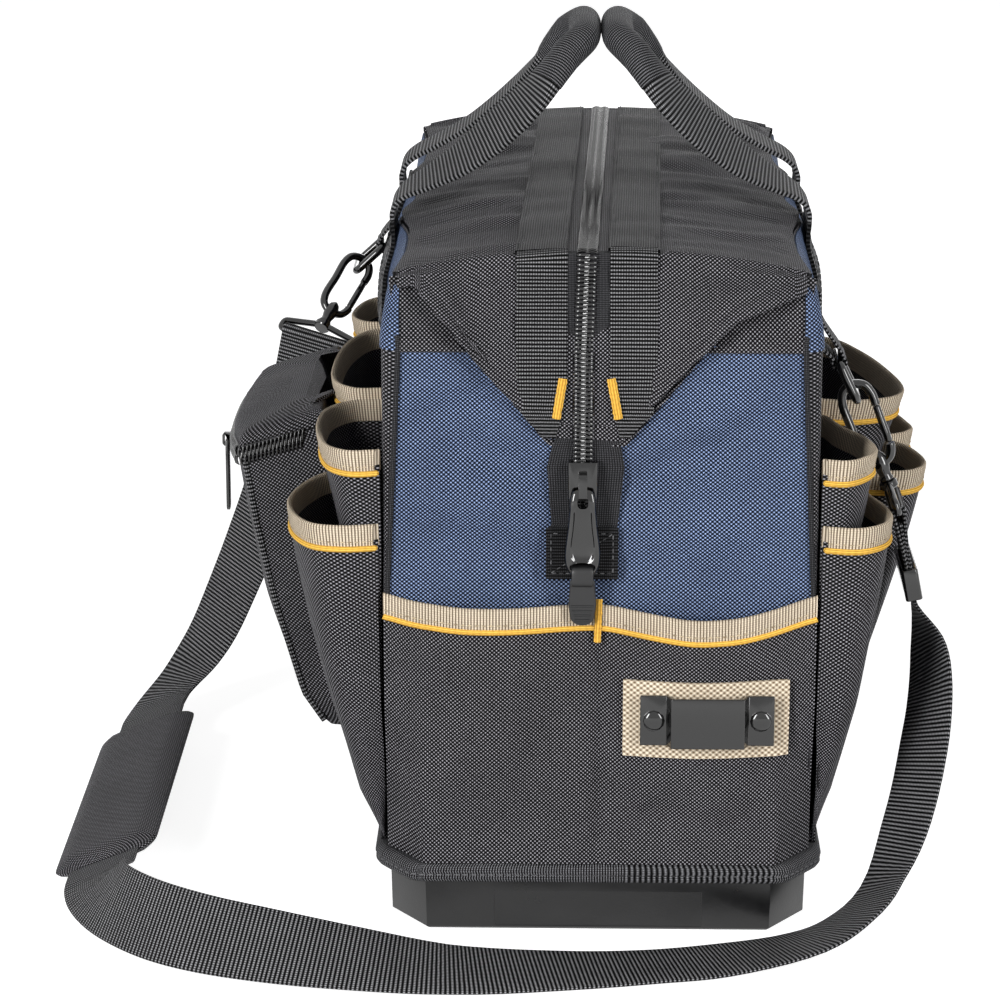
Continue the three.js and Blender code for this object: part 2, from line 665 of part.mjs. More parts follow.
// A row of bellows pockets on one side: the mouth's path is [distance from the middle, y], seen
// from above, and the wall draws in towards the side below the mouth. Its ends and the strips
// between its bays are sewn down flat, at the seat's height over the side
function pocketWall(side, path, levels, shape, lift, thick) {
  const { taper, mouth, seat } = shape;
  const seam = FOOT_WIDTH / 2;
  const back = Math.abs(path[path.length - 1][1]);
  const front = Math.max(...path.map(([, y]) => -y));
  const place = (k, z, proud, least) => {
    const [out, y] = path[k];
    const before = path[Math.max(0, k - 1)];
    const after = path[Math.min(path.length - 1, k + 1)];
    const along = new THREE.Vector2(after[0] - before[0], after[1] - before[1]).normalize();
    const face = halfWidth(z) + GAP;
    const depth = (out - seam) * mix(0.08, 1, unit(z, taper, mouth));
    const limit = endReach(z) - cornerCut(halfWidth(z), z) + 5;
    const squeeze = front > limit ? (limit - back) / (front - back) : 1;
    const reach = y < -back ? -(back + (-y - back) * squeeze) : y;
    const x = face + Math.max(least, depth + along.y * proud);
    return vec(side * x, reach - along.x * proud, z);
  };
  const grid = (proud, least) => path.map((_, k) => levels.map((z) => place(k, z, proud, least)));
  return slab(grid(lift, seat + SEWN), grid(lift - thick, seat));
}

// Plan paths of the mouths; a path meets the side where its distance is that of the seam
const SEAM = FOOT_WIDTH / 2;
const UPPER_TAPER = 100; // below this height the upper pockets lie close to the side
const UPPER_MOUTH = 240;
const LOWER_TAPER = 30;
const LOWER_MOUTH = 204;
const LEFT_UPPER = [
  [SEAM, -219], [118, -221], [128, -213], [134, -196], [137, -160], [134, -138], [123, -123],
  [SEAM, -118], [SEAM, -99], [122, -98], [133, -84], [POUCH_SEAT, -42], [132, 6], [121, 33],
  [SEAM, 40], [SEAM, 50], [125, 52], [133, 66], [132, 90], [124, 112], [SEAM, 126],
];
const LEFT_NEAR = [
  [SEAM, -224], [122, -227], [136, -223], [146, -207], [151, -180], [148, -156], [138, -130],
  [122, -114], [SEAM, -109],
];
const LEFT_FAR = [[SEAM, 44], [130, 46], [140, 62], [140, 98], [129, 122], [SEAM, 133]];
const RIGHT_UPPER = [
  [SEAM, -218], [116, -220], [126, -210.5], [131, -197], [127, -174], [117, -153], [111, -134],
  [SEAM, -124], [SEAM, -100], [124, -103], [141, -98], [150, -90], [154, -75], [149, -36],
  [138, 6], [124, 36], [SEAM, 46],
];
const RIGHT_NEAR = [
  [SEAM, -224], [122, -227], [134, -218], [139, -202], [137, -184], [132, -167], [126, -142],
  [118, -127], [SEAM, -114],
];
const RIGHT_LOWER = [
  [SEAM, -104], [120, -113], [136, -119], [152, -119], [161, -111], [164, -99], [162, -84],
  [156, -66], [147, -54], [150, -48], [158, -42], [163, -32], [161, -18], [156, 2], [147, 26],
  [130, 46], [SEAM, 56],
];
const RIGHT_FAR = [
  [SEAM, 64], [111, 68], [117, 84], [119, 130], [117, 176], [111, 192], [SEAM, 196],
];

function makePockets(word, side, path, levels, shape) {
  const { mouth } = shape;
  const binding = mouth - BINDING_HEIGHT;
  const heights = [...levels, binding - GAP];
  const wall = pocketWall(side, path, heights, shape, 0, THIN_WALL);
  add(`${word}_pocket`, wall, colours.black);
  const lift = (BINDING_THICK - THIN_WALL) / 2;
  const trim = pocketWall(side, path, [binding, mouth], shape, lift, BINDING_THICK);
  add(`${word}_binding`, trim, colours.tan);
}

// Side pouch: [height, reach of the outer face near its ends]
const POUCH_PROFILE = [[POUCH_FOOT, 142], [80, 154], [128, 168], [170, 177], [POUCH_RIM, POUCH_FACE - 4]];

function pouchBack(z) {
  const depth = mix(0.08, 1, unit(z, UPPER_TAPER, UPPER_MOUTH));
  return halfWidth(z) + 2 * GAP + (POUCH_SEAT - SEAM) * depth;
}

function pouchRing(back, reach, inset, height) {
  const near = POUCH_NEAR + inset;
  const far = POUCH_FAR - inset;
  const face = reach - inset;
  const bulge = face + 4;
  const plan = [
    [back + inset, near], [face - 9, near], [face, near + 9], [bulge, near + 32],
    [bulge, far - 32], [face, far - 9], [face - 9, far], [back + inset, far],
  ];
  return plan.map(([x, y]) => vec(-x, y, height(x)));
}

function pouchRim(x) {
  return POUCH_RIM + POUCH_RIM_RISE * (POUCH_FACE - x);
}

function makePouch() {
  const ring = (inset) => POUCH_PROFILE.map(([z, reach], k) => {
    const last = k === POUCH_PROFILE.length - 1;
    const lift = k === 0 ? inset : 0;
    const back = pouchBack(last ? pouchRim(POUCH_SEAT) : z);
    return pouchRing(back, reach, inset, (x) => (last ? pouchRim(x) : z + lift));
  });
  add("side_pouch", loft([...ring(0), ...ring(THIN_WALL + 0.4).reverse()]), colours.black);
  const reach = POUCH_FACE - 4;
  const lid = [
    pouchRing(POUCH_HINGE, reach, 0, (x) => pouchRim(x) + GAP),
    pouchRing(POUCH_HINGE, reach, 0, (x) => pouchRim(x) + LID_HEIGHT * 0.55),
    pouchRing(POUCH_HINGE - 5, reach, 5, (x) => pouchRim(x) + LID_HEIGHT),
  ];
  add("pouch_lid", loft(lid), colours.black);
}

const POUCH_PULL_Z = POUCH_RIM - POUCH_SLIDER_HEIGHT + 3.2;
const POUCH_PULL_X = POUCH_FACE + 5.2;

function makePouchSlider() {
  const half = POUCH_SLIDER_WIDTH / 2;
  const top = POUCH_RIM - 0.4;
  const foot = top - POUCH_SLIDER_HEIGHT;
  const front = 3.6;
  const place = (y, out, z) => vec(-(POUCH_FACE + out), POUCH_SLIDER_Y + y, z);
  const plan = [[-half, 0.4], [half, 0.4], [half, front - 1], [half - 1, front]];
  plan.push([-half + 1, front], [-half, front - 1]);
  const arch = [[foot + 0.8, front - 1], [foot + 0.8, front + 3.2], [foot + 2, front + 4.2]];
  arch.push([top - 2, front + 4.2], [top - 0.8, front + 3.2], [top - 0.8, front - 1]);
  const eye = [[foot + 2.2, front + 0.2], [foot + 2.2, front + 3], [top - 2.2, front + 3]];
  eye.push([top - 2.2, front + 0.2]);
  const upright = (z, out, y) => place(y, out, z);
  const block = solid(prism(plan, [], foot, top, place));
  const bridge = solid(prism(arch, [eye], -1.5, 1.5, upright));
  add("pouch_slider", geometryOf(block.add(bridge)), colours.metal);
}

function makePouchPull() {
  const half = POUCH_PULL_WIDTH / 2;
  const top = POUCH_PULL_Z + 0.9;
  const foot = top - POUCH_PULL_LENGTH;
  const outline = [
    [-3, top], [3, top], [half, top - 3], [half, foot + 2], [half - 2, foot], [-half + 2, foot],
    [-half, foot + 2], [-half, top - 3],
  ];
  const eye = [[-2, top - 1.8], [2, top - 1.8], [2, top - 7], [-2, top - 7]];
  const t = POUCH_PULL_THICK / 2;
  const place = (y, z, out) => vec(-(POUCH_PULL_X + out), POUCH_SLIDER_Y + y, z);
  add("pouch_pull", prism(outline, [eye], -t, t, place), colours.metal);
}

// A flat section that turns round as share goes from 0 to 1
function gripSection(share) {
  return ellipse(12, 1, 1).map(([c, s]) => {
    const flatten = (value) => Math.max(-1, Math.min(1, 1.6 * value));
    const wide = mix((STRAP_WIDTH / 2) * flatten(c), GRIP_RADIUS * c, share);
    const thick = mix((LEG_THICK / 2) * flatten(s), GRIP_RADIUS * s, share);
    return [wide, thick];
  });
}

// Half of a handle's centre line: [distance from the middle plane, height, along the grip,
// roundness, degrees that the near leg's webbing is turned towards the near end]
const HANDLE_ROOT = SHOULDER_WIDTH / 2 - FLAP_INSET + GAP + LEG_THICK / 2;
const GRIP_X = GRIP_RADIUS + GRIP_GAP / 2;
const HANDLE_LINE = [
  [HANDLE_ROOT, SIDE_TOP + 2.4, 1, 0, 0], [HANDLE_ROOT, SIDE_TOP + 6.4, 1, 0, 0],
  [HANDLE_ROOT - 2, SIDE_TOP + 11, 1, 0, 0], [98.5, 333.5, 1, 0, 2], [88, 339, 1, 0, 7],
  [71, 349, 1, 0, 15], [56, 361, 1, 0, 21], [44, 372, 1, 0.05, 22], [34, 382, 0.98, 0.25, 20],
  [25, 392, 0.92, 0.7, 16], [17, 401, 0.78, 1, 12], [GRIP_X + 1.5, GRIP_HEIGHT - 1.6, 0.58, 1, 8],
  [GRIP_X, GRIP_HEIGHT, 0.3, 1, 4],
];

function makeHandle(side) {
  const half = HANDLE_LINE.map(([x, z, y, round, turn]) => ({
    at: vec(side * x, -y * HANDLE_SPREAD, z), round, turn: THREE.MathUtils.degToRad(turn),
  }));
  const middle = { at: vec(side * GRIP_X, 0, GRIP_HEIGHT), round: 1, turn: 0 };
  const back = half.map(({ at, round }) => {
    return { at: vec(at.x, -at.y, at.z), round, turn: 0 };
  }).reverse();
  const line = [...half, middle, ...back];
  const points = line.map(({ at }) => at);
  const face = vec(side * 0.6, 0, 0.8);
  const across = (i) => {
    const before = points[Math.max(0, i - 1)];
    const after = points[Math.min(points.length - 1, i + 1)];
    const way = after.clone().sub(before).normalize();
    return way.clone().cross(face).normalize().applyAxisAngle(way, -side * line[i].turn);
  };
  const word = side < 0 ? "left" : "right";
  add(`handle_${word}`, sweep(points, across, (i) => gripSection(line[i].round)), colours.webbing);
}

// A frame along one piece of hardware: s runs along it, a across it, b out of its face
function frameOf(origin, along, across) {
  const out = along.clone().cross(across);
  return (a, b, s) => origin.clone().addScaledVector(across, a).addScaledVector(out, b)
    .addScaledVector(along, s);
}

const Y_AXIS = vec(0, 1, 0);

// Hardware and strap past the side of the body keep their distance from it when it gets wider
function besideBody(x) {
  if (Math.abs(x) < LAID_OUT_HALF) return x;
  return x + Math.sign(x) * (SHOULDER_WIDTH / 2 - LAID_OUT_HALF);
}

// Each end of the strap: where its ring turns, how the ring and the hook point, and the strap's way
const RIGHT_END = {
  word: "right", side: 1, pivot: vec(besideBody(116), -RING_Y, 268.5), ring: vec(0.4375, 0, -0.899),
  hook: vec(0.36, 0, -0.933), bail: vec(0.933, 0, 0.36), strap: vec(0.199, 0, -0.98),
  eye: vec(0, -1, 0),
};
const LEFT_END = {
  word: "left", side: -1, pivot: vec(besideBody(-121), RING_Y, 264.5), ring: vec(-0.738, 0, -0.675),
  hook: vec(-0.379, -0.743, -0.55), bail: vec(0.82, 0, -0.57), strap: vec(-0.22, 0, -0.975),
  eye: vec(-0.925, 0.317, 0.209),
};
for (const end of [RIGHT_END, LEFT_END]) {
  for (const key of ["ring", "hook", "bail", "strap", "eye"]) end[key].normalize();
  const bar = end.pivot.clone().addScaledVector(end.ring, RING_DROP);
  const away = end.bail.clone().cross(Y_AXIS).normalize();
  if (away.z < 0) away.negate();
  end.top = bar.addScaledVector(away, RING_WIRE + HOOK_WIRE + RING_PLAY);
  end.bar = end.top.clone().addScaledVector(end.hook, EYE_DROP);
}

function makeRingTab({ word, side, pivot }) {
  const wall = SHOULDER_WIDTH / 2 + GAP;
  const reach = Math.abs(pivot.x);
  const radius = RING_WIRE + GAP + WEBBING_THICK;
  const turn = [70, 35, 0, -35, -70, -105, -140].map((degrees) => {
    const angle = (degrees * Math.PI) / 180;
    return [reach + radius * Math.cos(angle), pivot.z + radius * Math.sin(angle)];
  });
  const sewn = [[wall, 282], [wall, 304], [wall + 2, 304], [wall + 2, 287]];
  const bore = ellipse(8, 1, 1, Math.PI / 8).map(([a, b]) => {
    const inner = (RING_WIRE + GAP) / Math.cos(Math.PI / 8);
    return [reach + a * inner, pivot.z + b * inner];
  });
  const half = RING_TAB_WIDTH / 2;
  const place = (x, z, y) => vec(side * x, pivot.y + y, z);
  add(`d_ring_tab_${word}`, prism([...sewn, ...turn], [bore], -half, half, place), colours.webbing);
}

function makeRing({ word, pivot, ring }) {
  const at = frameOf(pivot, ring, Y_AXIS);
  const w = RING_HALF_WIDTH;
  const d = RING_DROP;
  const plan = [[-w + 2, 0], [w - 2, 0], [w, 2], [w, d - 4], [w - 4, d], [-w + 4, d], [-w, d - 4], [-w, 2]];
  const points = plan.map(([a, s]) => at(a, 0, s));
  const face = at(0, 1, 0).sub(at(0, 0, 0));
  const wire = ellipse(8, RING_WIRE, RING_WIRE, Math.PI / 8);
  add(`d_ring_${word}`, sweep(points, () => face, wire, true), colours.metal);
}

function makeHook({ word, top, hook, bail }) {
  const at = frameOf(top, hook, bail);
  const w = HOOK_HALF_WIDTH;
  const low = HOOK_LENGTH - w;
  const c = w * Math.SQRT1_2;
  const plan = [
    [w, GATE_FOOT + 2 * GAP], [w, low + GAP], [c, low + c], [0, HOOK_LENGTH], [-c, low + c],
    [-w, low], [-w, HOOK_LENGTH / 2], [-w, w], [-c, w - c], [0, 0], [c, w - c], [w, w],
    [w, GATE_TOP - GAP],
  ];
  const face = at(0, 1, 0).sub(at(0, 0, 0));
  const wire = ellipse(8, HOOK_WIRE, HOOK_WIRE, Math.PI / 8);
  const loop = sweep(plan.map(([a, s]) => at(a, 0, s)), () => face, wire);
  const round = ellipse(12, HOOK_NECK_RADIUS, HOOK_NECK_RADIUS);
  const neck = [HOOK_LENGTH - 1, HOOK_NECK_END].map((s) => round.map(([a, b]) => at(a, b, s)));
  add(`snap_hook_${word}`, geometryOf(solid(loop).add(solid(loft(neck)))), colours.metal);
  const bar = ellipse(8, GATE_RADIUS, GATE_RADIUS, Math.PI / 8);
  const gate = [GATE_TOP, GATE_FOOT].map((s) => bar.map(([a, b]) => at(w + a, b, s)));
  add(`hook_gate_${word}`, loft(gate), colours.metal);
}

function makeEye({ word, top, hook, eye }) {
  const at = frameOf(top, hook, eye);
  const w = EYE_HALF_WIDTH;
  const shoulder = HOOK_NECK_END + 6;
  const plan = [[-3.5, HOOK_NECK_END + 2], [3.5, HOOK_NECK_END + 2], [w, shoulder], [w, EYE_DROP]];
  plan.push([-w, EYE_DROP], [-w, shoulder]);
  const face = at(0, 1, 0).sub(at(0, 0, 0));
  const wire = ellipse(8, EYE_WIRE, EYE_WIRE, Math.PI / 8);
  const loop = sweep(plan.map(([a, s]) => at(a, 0, s)), () => face, wire, true);
  const round = ellipse(12, HOOK_NECK_RADIUS + 1, HOOK_NECK_RADIUS + 1);
  const collar = [HOOK_NECK_END + GAP, HOOK_NECK_END + 4].map((s) => {
    return round.map(([a, b]) => at(a, b, s));
  });
  add(`swivel_eye_${word}`, geometryOf(solid(loop).add(solid(loft(collar)))), colours.metal);
}

// The end of the strap, folded round the eye's bar and sewn to itself
function strapLoop({ bar, strap, eye }) {
  const at = frameOf(bar, strap, eye);
  const radius = EYE_WIRE + GAP + STRAP_THICK;
  const turn = [50, 80, 115, 155, 205, 245, 280, 310].map((degrees) => {
    const angle = (degrees * Math.PI) / 180;
    return [radius * Math.cos(angle), radius * Math.sin(angle)];
  });
  const run = [[STRAP_LOOP, -STRAP_THICK], [STRAP_LOOP, STRAP_THICK]];
  const bore = ellipse(8, 1, 1, Math.PI / 8).map(([a, b]) => {
    const inner = (EYE_WIRE + GAP) / Math.cos(Math.PI / 8);
    return [a * inner, b * inner];
  });
  const half = STRAP_WIDTH / 2;
  return prism([...turn, ...run], [bore], -half, half, (s, b, a) => at(a, b, s));
}

// The strap's way from the right eye round the near end to the left eye: a point of its centre
// line and the direction across it
function strapRoute() {
  const down = ({ bar, strap, eye }, s) => [bar.clone().addScaledVector(strap, s), eye];
  const way = [
    [163, -154, 124, 0.35, -0.9, 0.25], [164, -168, 104, 0.48, -0.8, 0.36],
    [160, -183, 78, 0.55, -0.77, 0.32], [152, -198, 48, 0.55, -0.77, 0.32],
    [139, -214, 20, 0.45, -0.8, 0.38], [121, -236, 9.5, 0.5, -0.82, 0.3],
    [100, -252, 4.5, 0.44, -0.88, 0.14], [57, -269, 2, 0.36, -0.93, 0],
    [22, -278, 2.2, 0.2, -0.98, -0.02], [-15, -285, 3.2, 0.12, -0.99, -0.09],
    [-70, -294, 7, 0.06, -0.97, -0.25], [-121, -293, 12.5, -0.08, -0.86, -0.5],
    [-160, -287, 16, -0.15, -0.7, -0.7], [-190, -278, 18, -0.22, -0.55, -0.8],
    [-214, -264, 19, -0.3, -0.37, -0.88], [-234, -243, 19.2, -0.42, -0.22, -0.88],
    [-245, -216, 16.5, -0.72, -0.08, -0.69], [PAD_X, -195, 13.3, -0.9, 0, -0.43],
    ...[-186, -120, -40, 48, 56].map((y) => [PAD_X, y, PAD_HEIGHT, -0.927, 0, -0.375]),
    [-244, 76, 16, -0.88, 0.3, -0.37], [-233, 90, 27, -0.8, 0.5, -0.33],
    [-219, 97, 47, -0.76, 0.62, -0.2], [-204, 100, 80, -0.76, 0.65, -0.08],
    [-189, 100, 118, -0.78, 0.62, 0], [-175, 99, 156, -0.85, 0.5, 0.08],
  ];
  const middle = way.map(([x, y, z, u, v, w]) => {
    return [vec(besideBody(x), y, z), vec(u, v, w).normalize()];
  });
  const start = [down(RIGHT_END, STRAP_LOOP - 4), down(RIGHT_END, STRAP_LOOP + 12)];
  const finish = [down(LEFT_END, STRAP_LOOP + 2), down(LEFT_END, STRAP_LOOP - 6)];
  return [...start, ...middle, ...finish];
}

function makeStrap() {
  const route = strapRoute();
  const curve = new THREE.CatmullRomCurve3(route.map(([at]) => at), false, "centripetal");
  const steps = 2 * (route.length - 1);
  const points = Array.from({ length: steps + 1 }, (_, k) => curve.getPoint(k / steps));
  const across = (k) => {
    const i = Math.min(route.length - 2, Math.floor(k / 2));
    return route[i][1].clone().lerp(route[i + 1][1], k / 2 - i);
  };
  const w = STRAP_WIDTH / 2;
  const t = STRAP_THICK / 2;
  const flat = [[w, 0.3 - t], [w, t - 0.3], [w - 1, t], [-w + 1, t]];
  flat.push([-w, t - 0.3], [-w, 0.3 - t], [-w + 1, -t], [w - 1, -t]);
  let strap = solid(sweep(points, across, flat));
  for (const end of [RIGHT_END, LEFT_END]) strap = strap.add(solid(strapLoop(end)));
  add("shoulder_strap", geometryOf(strap), colours.webbing);
}

function makeAdjuster() {
  const { bar, strap, eye } = RIGHT_END;
  const at = frameOf(bar, strap, eye);
  const outline = (w, d) => [
    [-w, -d + 1], [-w + 1, -d], [w - 1, -d], [w, -d + 1],
    [w, d - 1], [w - 1, d], [-w + 1, d], [-w, d - 1],
  ];
  const slotWide = STRAP_WIDTH / 2 + 2 * GAP;
  const slotDeep = STRAP_THICK + GAP + 0.2;
  const slot = [[-slotWide, -slotDeep], [slotWide, -slotDeep], [slotWide, slotDeep]];
  slot.push([-slotWide, slotDeep]);
  const rim = outline(ADJUSTER_WIDTH / 2, ADJUSTER_DEPTH / 2);
  const place = (a, b, s) => at(a, b, s);
  const to = ADJUSTER_FROM + ADJUSTER_LENGTH;
  add("strap_adjuster", prism(rim, [slot], ADJUSTER_FROM, to, place), colours.metal);
}

// The shoulder pad lies tilted on the floor, with the strap running through it
function makePad() {
  const w = PAD_WIDTH / 2;
  const t = PAD_THICK / 2;
  const rim = [
    [w, -1.5], [w, 1.5], [w * 0.64, t * 0.78], [0, t], [-w * 0.64, t * 0.78], [-w, 1.5],
    [-w, -1.5], [-w * 0.64, -t * 0.78], [0, -t], [w * 0.64, -t * 0.78],
  ];
  const a = STRAP_WIDTH / 2 + 1.5;
  const b = STRAP_THICK / 2 + 0.7;
  const bore = [[a, -b], [a, b], [-a, b], [-a, -b]];
  const across = vec(-0.927, 0, -0.375).normalize();
  const at = frameOf(vec(besideBody(PAD_X), 0, PAD_HEIGHT), Y_AXIS, across);
  add("shoulder_pad", prism(rim, [bore], PAD_NEAR, PAD_FAR, (u, v, y) => at(u, v, y)), colours.black);
}

makeBase();
makeRim();
makeEndPanel("near_end_panel", -1);
makeEndPanel("far_end_panel", 1);
makeSidePanel("left_side_panel", -1);
makeSidePanel("right_side_panel", 1);
makeHip("near_end_fold", -1);
makeHip("far_end_fold", 1);
makeFlap(-1);
makeFlap(1);
makeZipTail();
makeZipChain();
makeSlider();
makePull();
makePullTab();
makeEndPocket("near", -1);
makeEndPocket("far", 1);
makeTapeClip();
const HIGH = [120];
const LOW = [BASE_HEIGHT + 1.5, BASE_HEIGHT + CORNER_FADE];
const upper = (mouth) => ({ taper: UPPER_TAPER, mouth, seat: 0 });
const over = (mouth) => ({ taper: LOWER_TAPER, mouth, seat: SEWN + GAP });
makePockets("left_upper", -1, LEFT_UPPER, HIGH, upper(UPPER_MOUTH));
makePockets("left_near", -1, LEFT_NEAR, LOW, over(LOWER_MOUTH));
makePockets("left_far", -1, LEFT_FAR, LOW, over(LOWER_MOUTH - 6));
makePockets("right_upper", 1, RIGHT_UPPER, HIGH, upper(UPPER_MOUTH - 4));
makePockets("right_near", 1, RIGHT_NEAR, LOW, over(LOWER_MOUTH));
makePockets("right_lower", 1, RIGHT_LOWER, LOW, over(LOWER_MOUTH));
makePockets("right_far", 1, RIGHT_FAR, LOW, { taper: LOWER_TAPER, mouth: 190, seat: 0 });

makePouch();
makePouchSlider();
makePouchPull();
makeHandle(-1);
makeHandle(1);
for (const end of [LEFT_END, RIGHT_END]) {
  makeRingTab(end);
  makeRing(end);
  makeHook(end);
  makeEye(end);
}
makeStrap();
makeAdjuster();
makePad();

export default bag;
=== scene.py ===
# Zippered tool bag: fabric body on a moulded base, outer pockets, side pouch, two carry handles
# and a shoulder strap. Sizes are worked out in millimetres and the meshes are in metres.
import math

import bmesh
import bpy
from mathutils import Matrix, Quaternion, Vector, noise


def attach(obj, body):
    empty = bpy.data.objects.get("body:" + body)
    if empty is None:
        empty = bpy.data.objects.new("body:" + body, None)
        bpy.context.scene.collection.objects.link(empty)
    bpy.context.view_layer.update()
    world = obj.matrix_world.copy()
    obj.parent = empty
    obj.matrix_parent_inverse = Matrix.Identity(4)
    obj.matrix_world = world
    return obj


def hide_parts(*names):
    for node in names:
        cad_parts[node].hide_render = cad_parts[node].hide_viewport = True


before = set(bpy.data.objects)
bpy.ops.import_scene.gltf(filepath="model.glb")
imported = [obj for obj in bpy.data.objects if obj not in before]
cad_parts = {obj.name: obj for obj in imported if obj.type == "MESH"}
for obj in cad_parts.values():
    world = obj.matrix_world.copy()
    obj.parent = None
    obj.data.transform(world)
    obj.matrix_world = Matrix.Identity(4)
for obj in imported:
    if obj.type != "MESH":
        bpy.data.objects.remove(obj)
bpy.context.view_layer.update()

MM = 0.001

# Driving sizes of the bag, the same as those of the solids
GAP = 0.3
BODY_LENGTH = 450
FOOT_WIDTH = 206
SHOULDER_WIDTH = 209
TOP_LENGTH = 404
SIDE_TOP = 318
CROWN_HEIGHT = 332
CROWN_RISE = 10.5
END_TOP = 289
END_LEAN = 8
WALL = 3
THIN_WALL = 1.8
SEWN = 0.6
CORNER_X = 18
CORNER_Y = 25
CORNER_FADE = 78
CORNER_FOOT = 3
CORNER_WIDEST = 9.5
CORNER_TOP = 5
BASE_HEIGHT = 36.5
BASE_INSET = 0.8
BASE_PROUD = 3
RIM_HEIGHT = 10
RIM_REACH = 6.5
ZIP_NEAR_X = -7
ZIP_FAR_X = 1.5
ZIP_WIDTH = 10.4
ZIP_THICK = 2.4
WEBBING_THICK = 1.6
TOP_WEBBING_WIDTH = 24.5
TOP_WEBBING_INSET = 9.8
FLAP_INSET = 0.5
FLAP_END = TOP_LENGTH / 2 - 3.5
NOTCH_LEFT = -26.5
NOTCH_RIGHT = 12.6
NOTCH_FLOOR = 244
NOTCH_RUN = 41
TAPE_PATCH_TOP = 203
POCKET_MOUTH = 171
# The end pocket's mouth: (share of the half width, drop below its corners)
MOUTH_DROPS = [(-1, 0), (-0.87, 4.7), (-0.65, 6.7), (-0.2, 5.5), (0.02, 5.7), (0.21, 8.8),
               (0.43, 11.8), (0.65, 10.9), (0.8, 7.6), (0.96, 1.9), (1, 0)]
POCKET_BELLY = 7.2
BINDING_HEIGHT = 10.5
SEAM = FOOT_WIDTH / 2
UPPER_TAPER = 100
LOWER_TAPER = 30
UPPER_MOUTH = 240
LOWER_MOUTH = 204
# How far the tops of the sides are drawn in, at the corners and along the rest
PULL_AT_CORNERS = 4.5
PULL_ALONG = 9
# The side's swelling between the pockets and the top: half its length, its foot and its depth
BULGE_REACH = 132
BULGE_FOOT = 222
BULGE_DEPTH = 9


def vec(x, y, z):
    return Vector((x, y, z))


def mix(a, b, t):
    return a + (b - a) * t


def unit(x, low, high):
    return min(1, max(0, (x - low) / (high - low)))


def spread(low, high, steps):
    return [mix(low, high, k / steps) for k in range(steps + 1)]


# Where the outer fabric lies
def half_width(z):
    return mix(FOOT_WIDTH, SHOULDER_WIDTH, unit(z, BASE_HEIGHT, SIDE_TOP)) / 2


def crown(x):
    return CROWN_HEIGHT - CROWN_RISE * (x / (SHOULDER_WIDTH / 2)) ** 2


def end_reach(z):
    """How far an end stands from the middle: it leans in, and then turns over to the top."""
    low = BODY_LENGTH / 2
    if z <= END_TOP:
        return low - END_LEAN * unit(z, BASE_HEIGHT, END_TOP)
    t = unit(z, END_TOP, CROWN_HEIGHT - CROWN_RISE)
    return mix(low - END_LEAN, TOP_LENGTH / 2, t * t * 0.6 + t * 0.4)


def corner_cut(x, z):
    """How far an end is cut back at x, so that the foot's corners follow the base's."""
    fade = 1 - unit(z, BASE_HEIGHT, BASE_HEIGHT + CORNER_FADE)
    start = half_width(z) - CORNER_X
    return CORNER_Y * fade * unit(abs(x), start, start + CORNER_X)


def on_end(side, x, z, proud):
    return vec(x, side * (end_reach(z) - corner_cut(x, z) + proud), z)


def corner_radius(z):
    """The cloth's upright corners are turned on a radius, widest at the coloured panel's top."""
    if z < END_TOP:
        return mix(CORNER_FOOT, CORNER_WIDEST, unit(z, POCKET_MOUTH, END_TOP))
    return mix(CORNER_WIDEST, CORNER_TOP, unit(z, END_TOP, SIDE_TOP))


def end_edge(z):
    """Half of the width that is left for an end panel between its corners."""
    return half_width(z) - corner_radius(z)


def shoulder(p):
    """The top edges of the sides are drawn in, least at the corners and where the handles pull."""
    pull = mix(PULL_AT_CORNERS, PULL_ALONG, unit(abs(p.y), TOP_LENGTH / 2, 150))
    pull *= 1 - 0.7 * math.exp(-(((abs(p.y) - HANDLE_SPREAD) / 26) ** 2))
    high = unit(p.z, 290, SIDE_TOP) ** 1.3
    p.x -= math.copysign(pull * high * unit(abs(p.x), 50, 104) ** 1.5, p.x)
    return p


def zip_x(y):
    return mix(ZIP_NEAR_X, ZIP_FAR_X, (y + TOP_LENGTH / 2) / TOP_LENGTH)


def end_panel_top(x):
    """The coloured panel's top edge, which dips to a notch under the zip."""
    left = unit(x, NOTCH_LEFT, NOTCH_LEFT - NOTCH_RUN)
    right = unit(x, NOTCH_RIGHT, NOTCH_RIGHT + NOTCH_RUN)
    return mix(NOTCH_FLOOR, END_TOP, left if x < 0 else right)


# A smooth line through points, the same as the strap's line in the solids
def smooth_line(points, steps, closed=False):
    count = len(points)
    line = []
    for i in range(count if closed else count - 1):
        b = points[i]
        c = points[(i + 1) % count]
        a = points[i - 1] if closed or i > 0 else b * 2 - c
        d = points[(i + 2) % count] if closed or i + 2 < count else c * 2 - b
        ta = 0
        tb = ta + max(1e-6, (b - a).length) ** 0.5
        tc = tb + max(1e-6, (c - b).length) ** 0.5
        td = tc + max(1e-6, (d - c).length) ** 0.5
        for k in range(steps):
            t = mix(tb, tc, k / steps)
            ab = a.lerp(b, (t - ta) / (tb - ta))
            bc = b.lerp(c, (t - tb) / (tc - tb))
            cd = c.lerp(d, (t - tc) / (td - tc))
            left = ab.lerp(bc, (t - ta) / (tc - ta))
            right = bc.lerp(cd, (t - tb) / (td - tb))
            line.append(left.lerp(right, (t - tb) / (tc - tb)))
    if not closed:
        line.append(points[-1].copy())
    return line


# Materials. Woven threads scatter the light, so cloth mirrors little of it
CLOTH_GLOSS = 0.06
COAT_ROUGHNESS = 0.06


def linear(code):
    """An sRGB hex colour as the shader's linear one."""
    channels = [int(code[i:i + 2], 16) / 255 for i in (1, 3, 5)]
    bent = [c / 12.92 if c <= 0.04045 else ((c + 0.055) / 1.055) ** 2.4 for c in channels]
    return (*bent, 1.0)


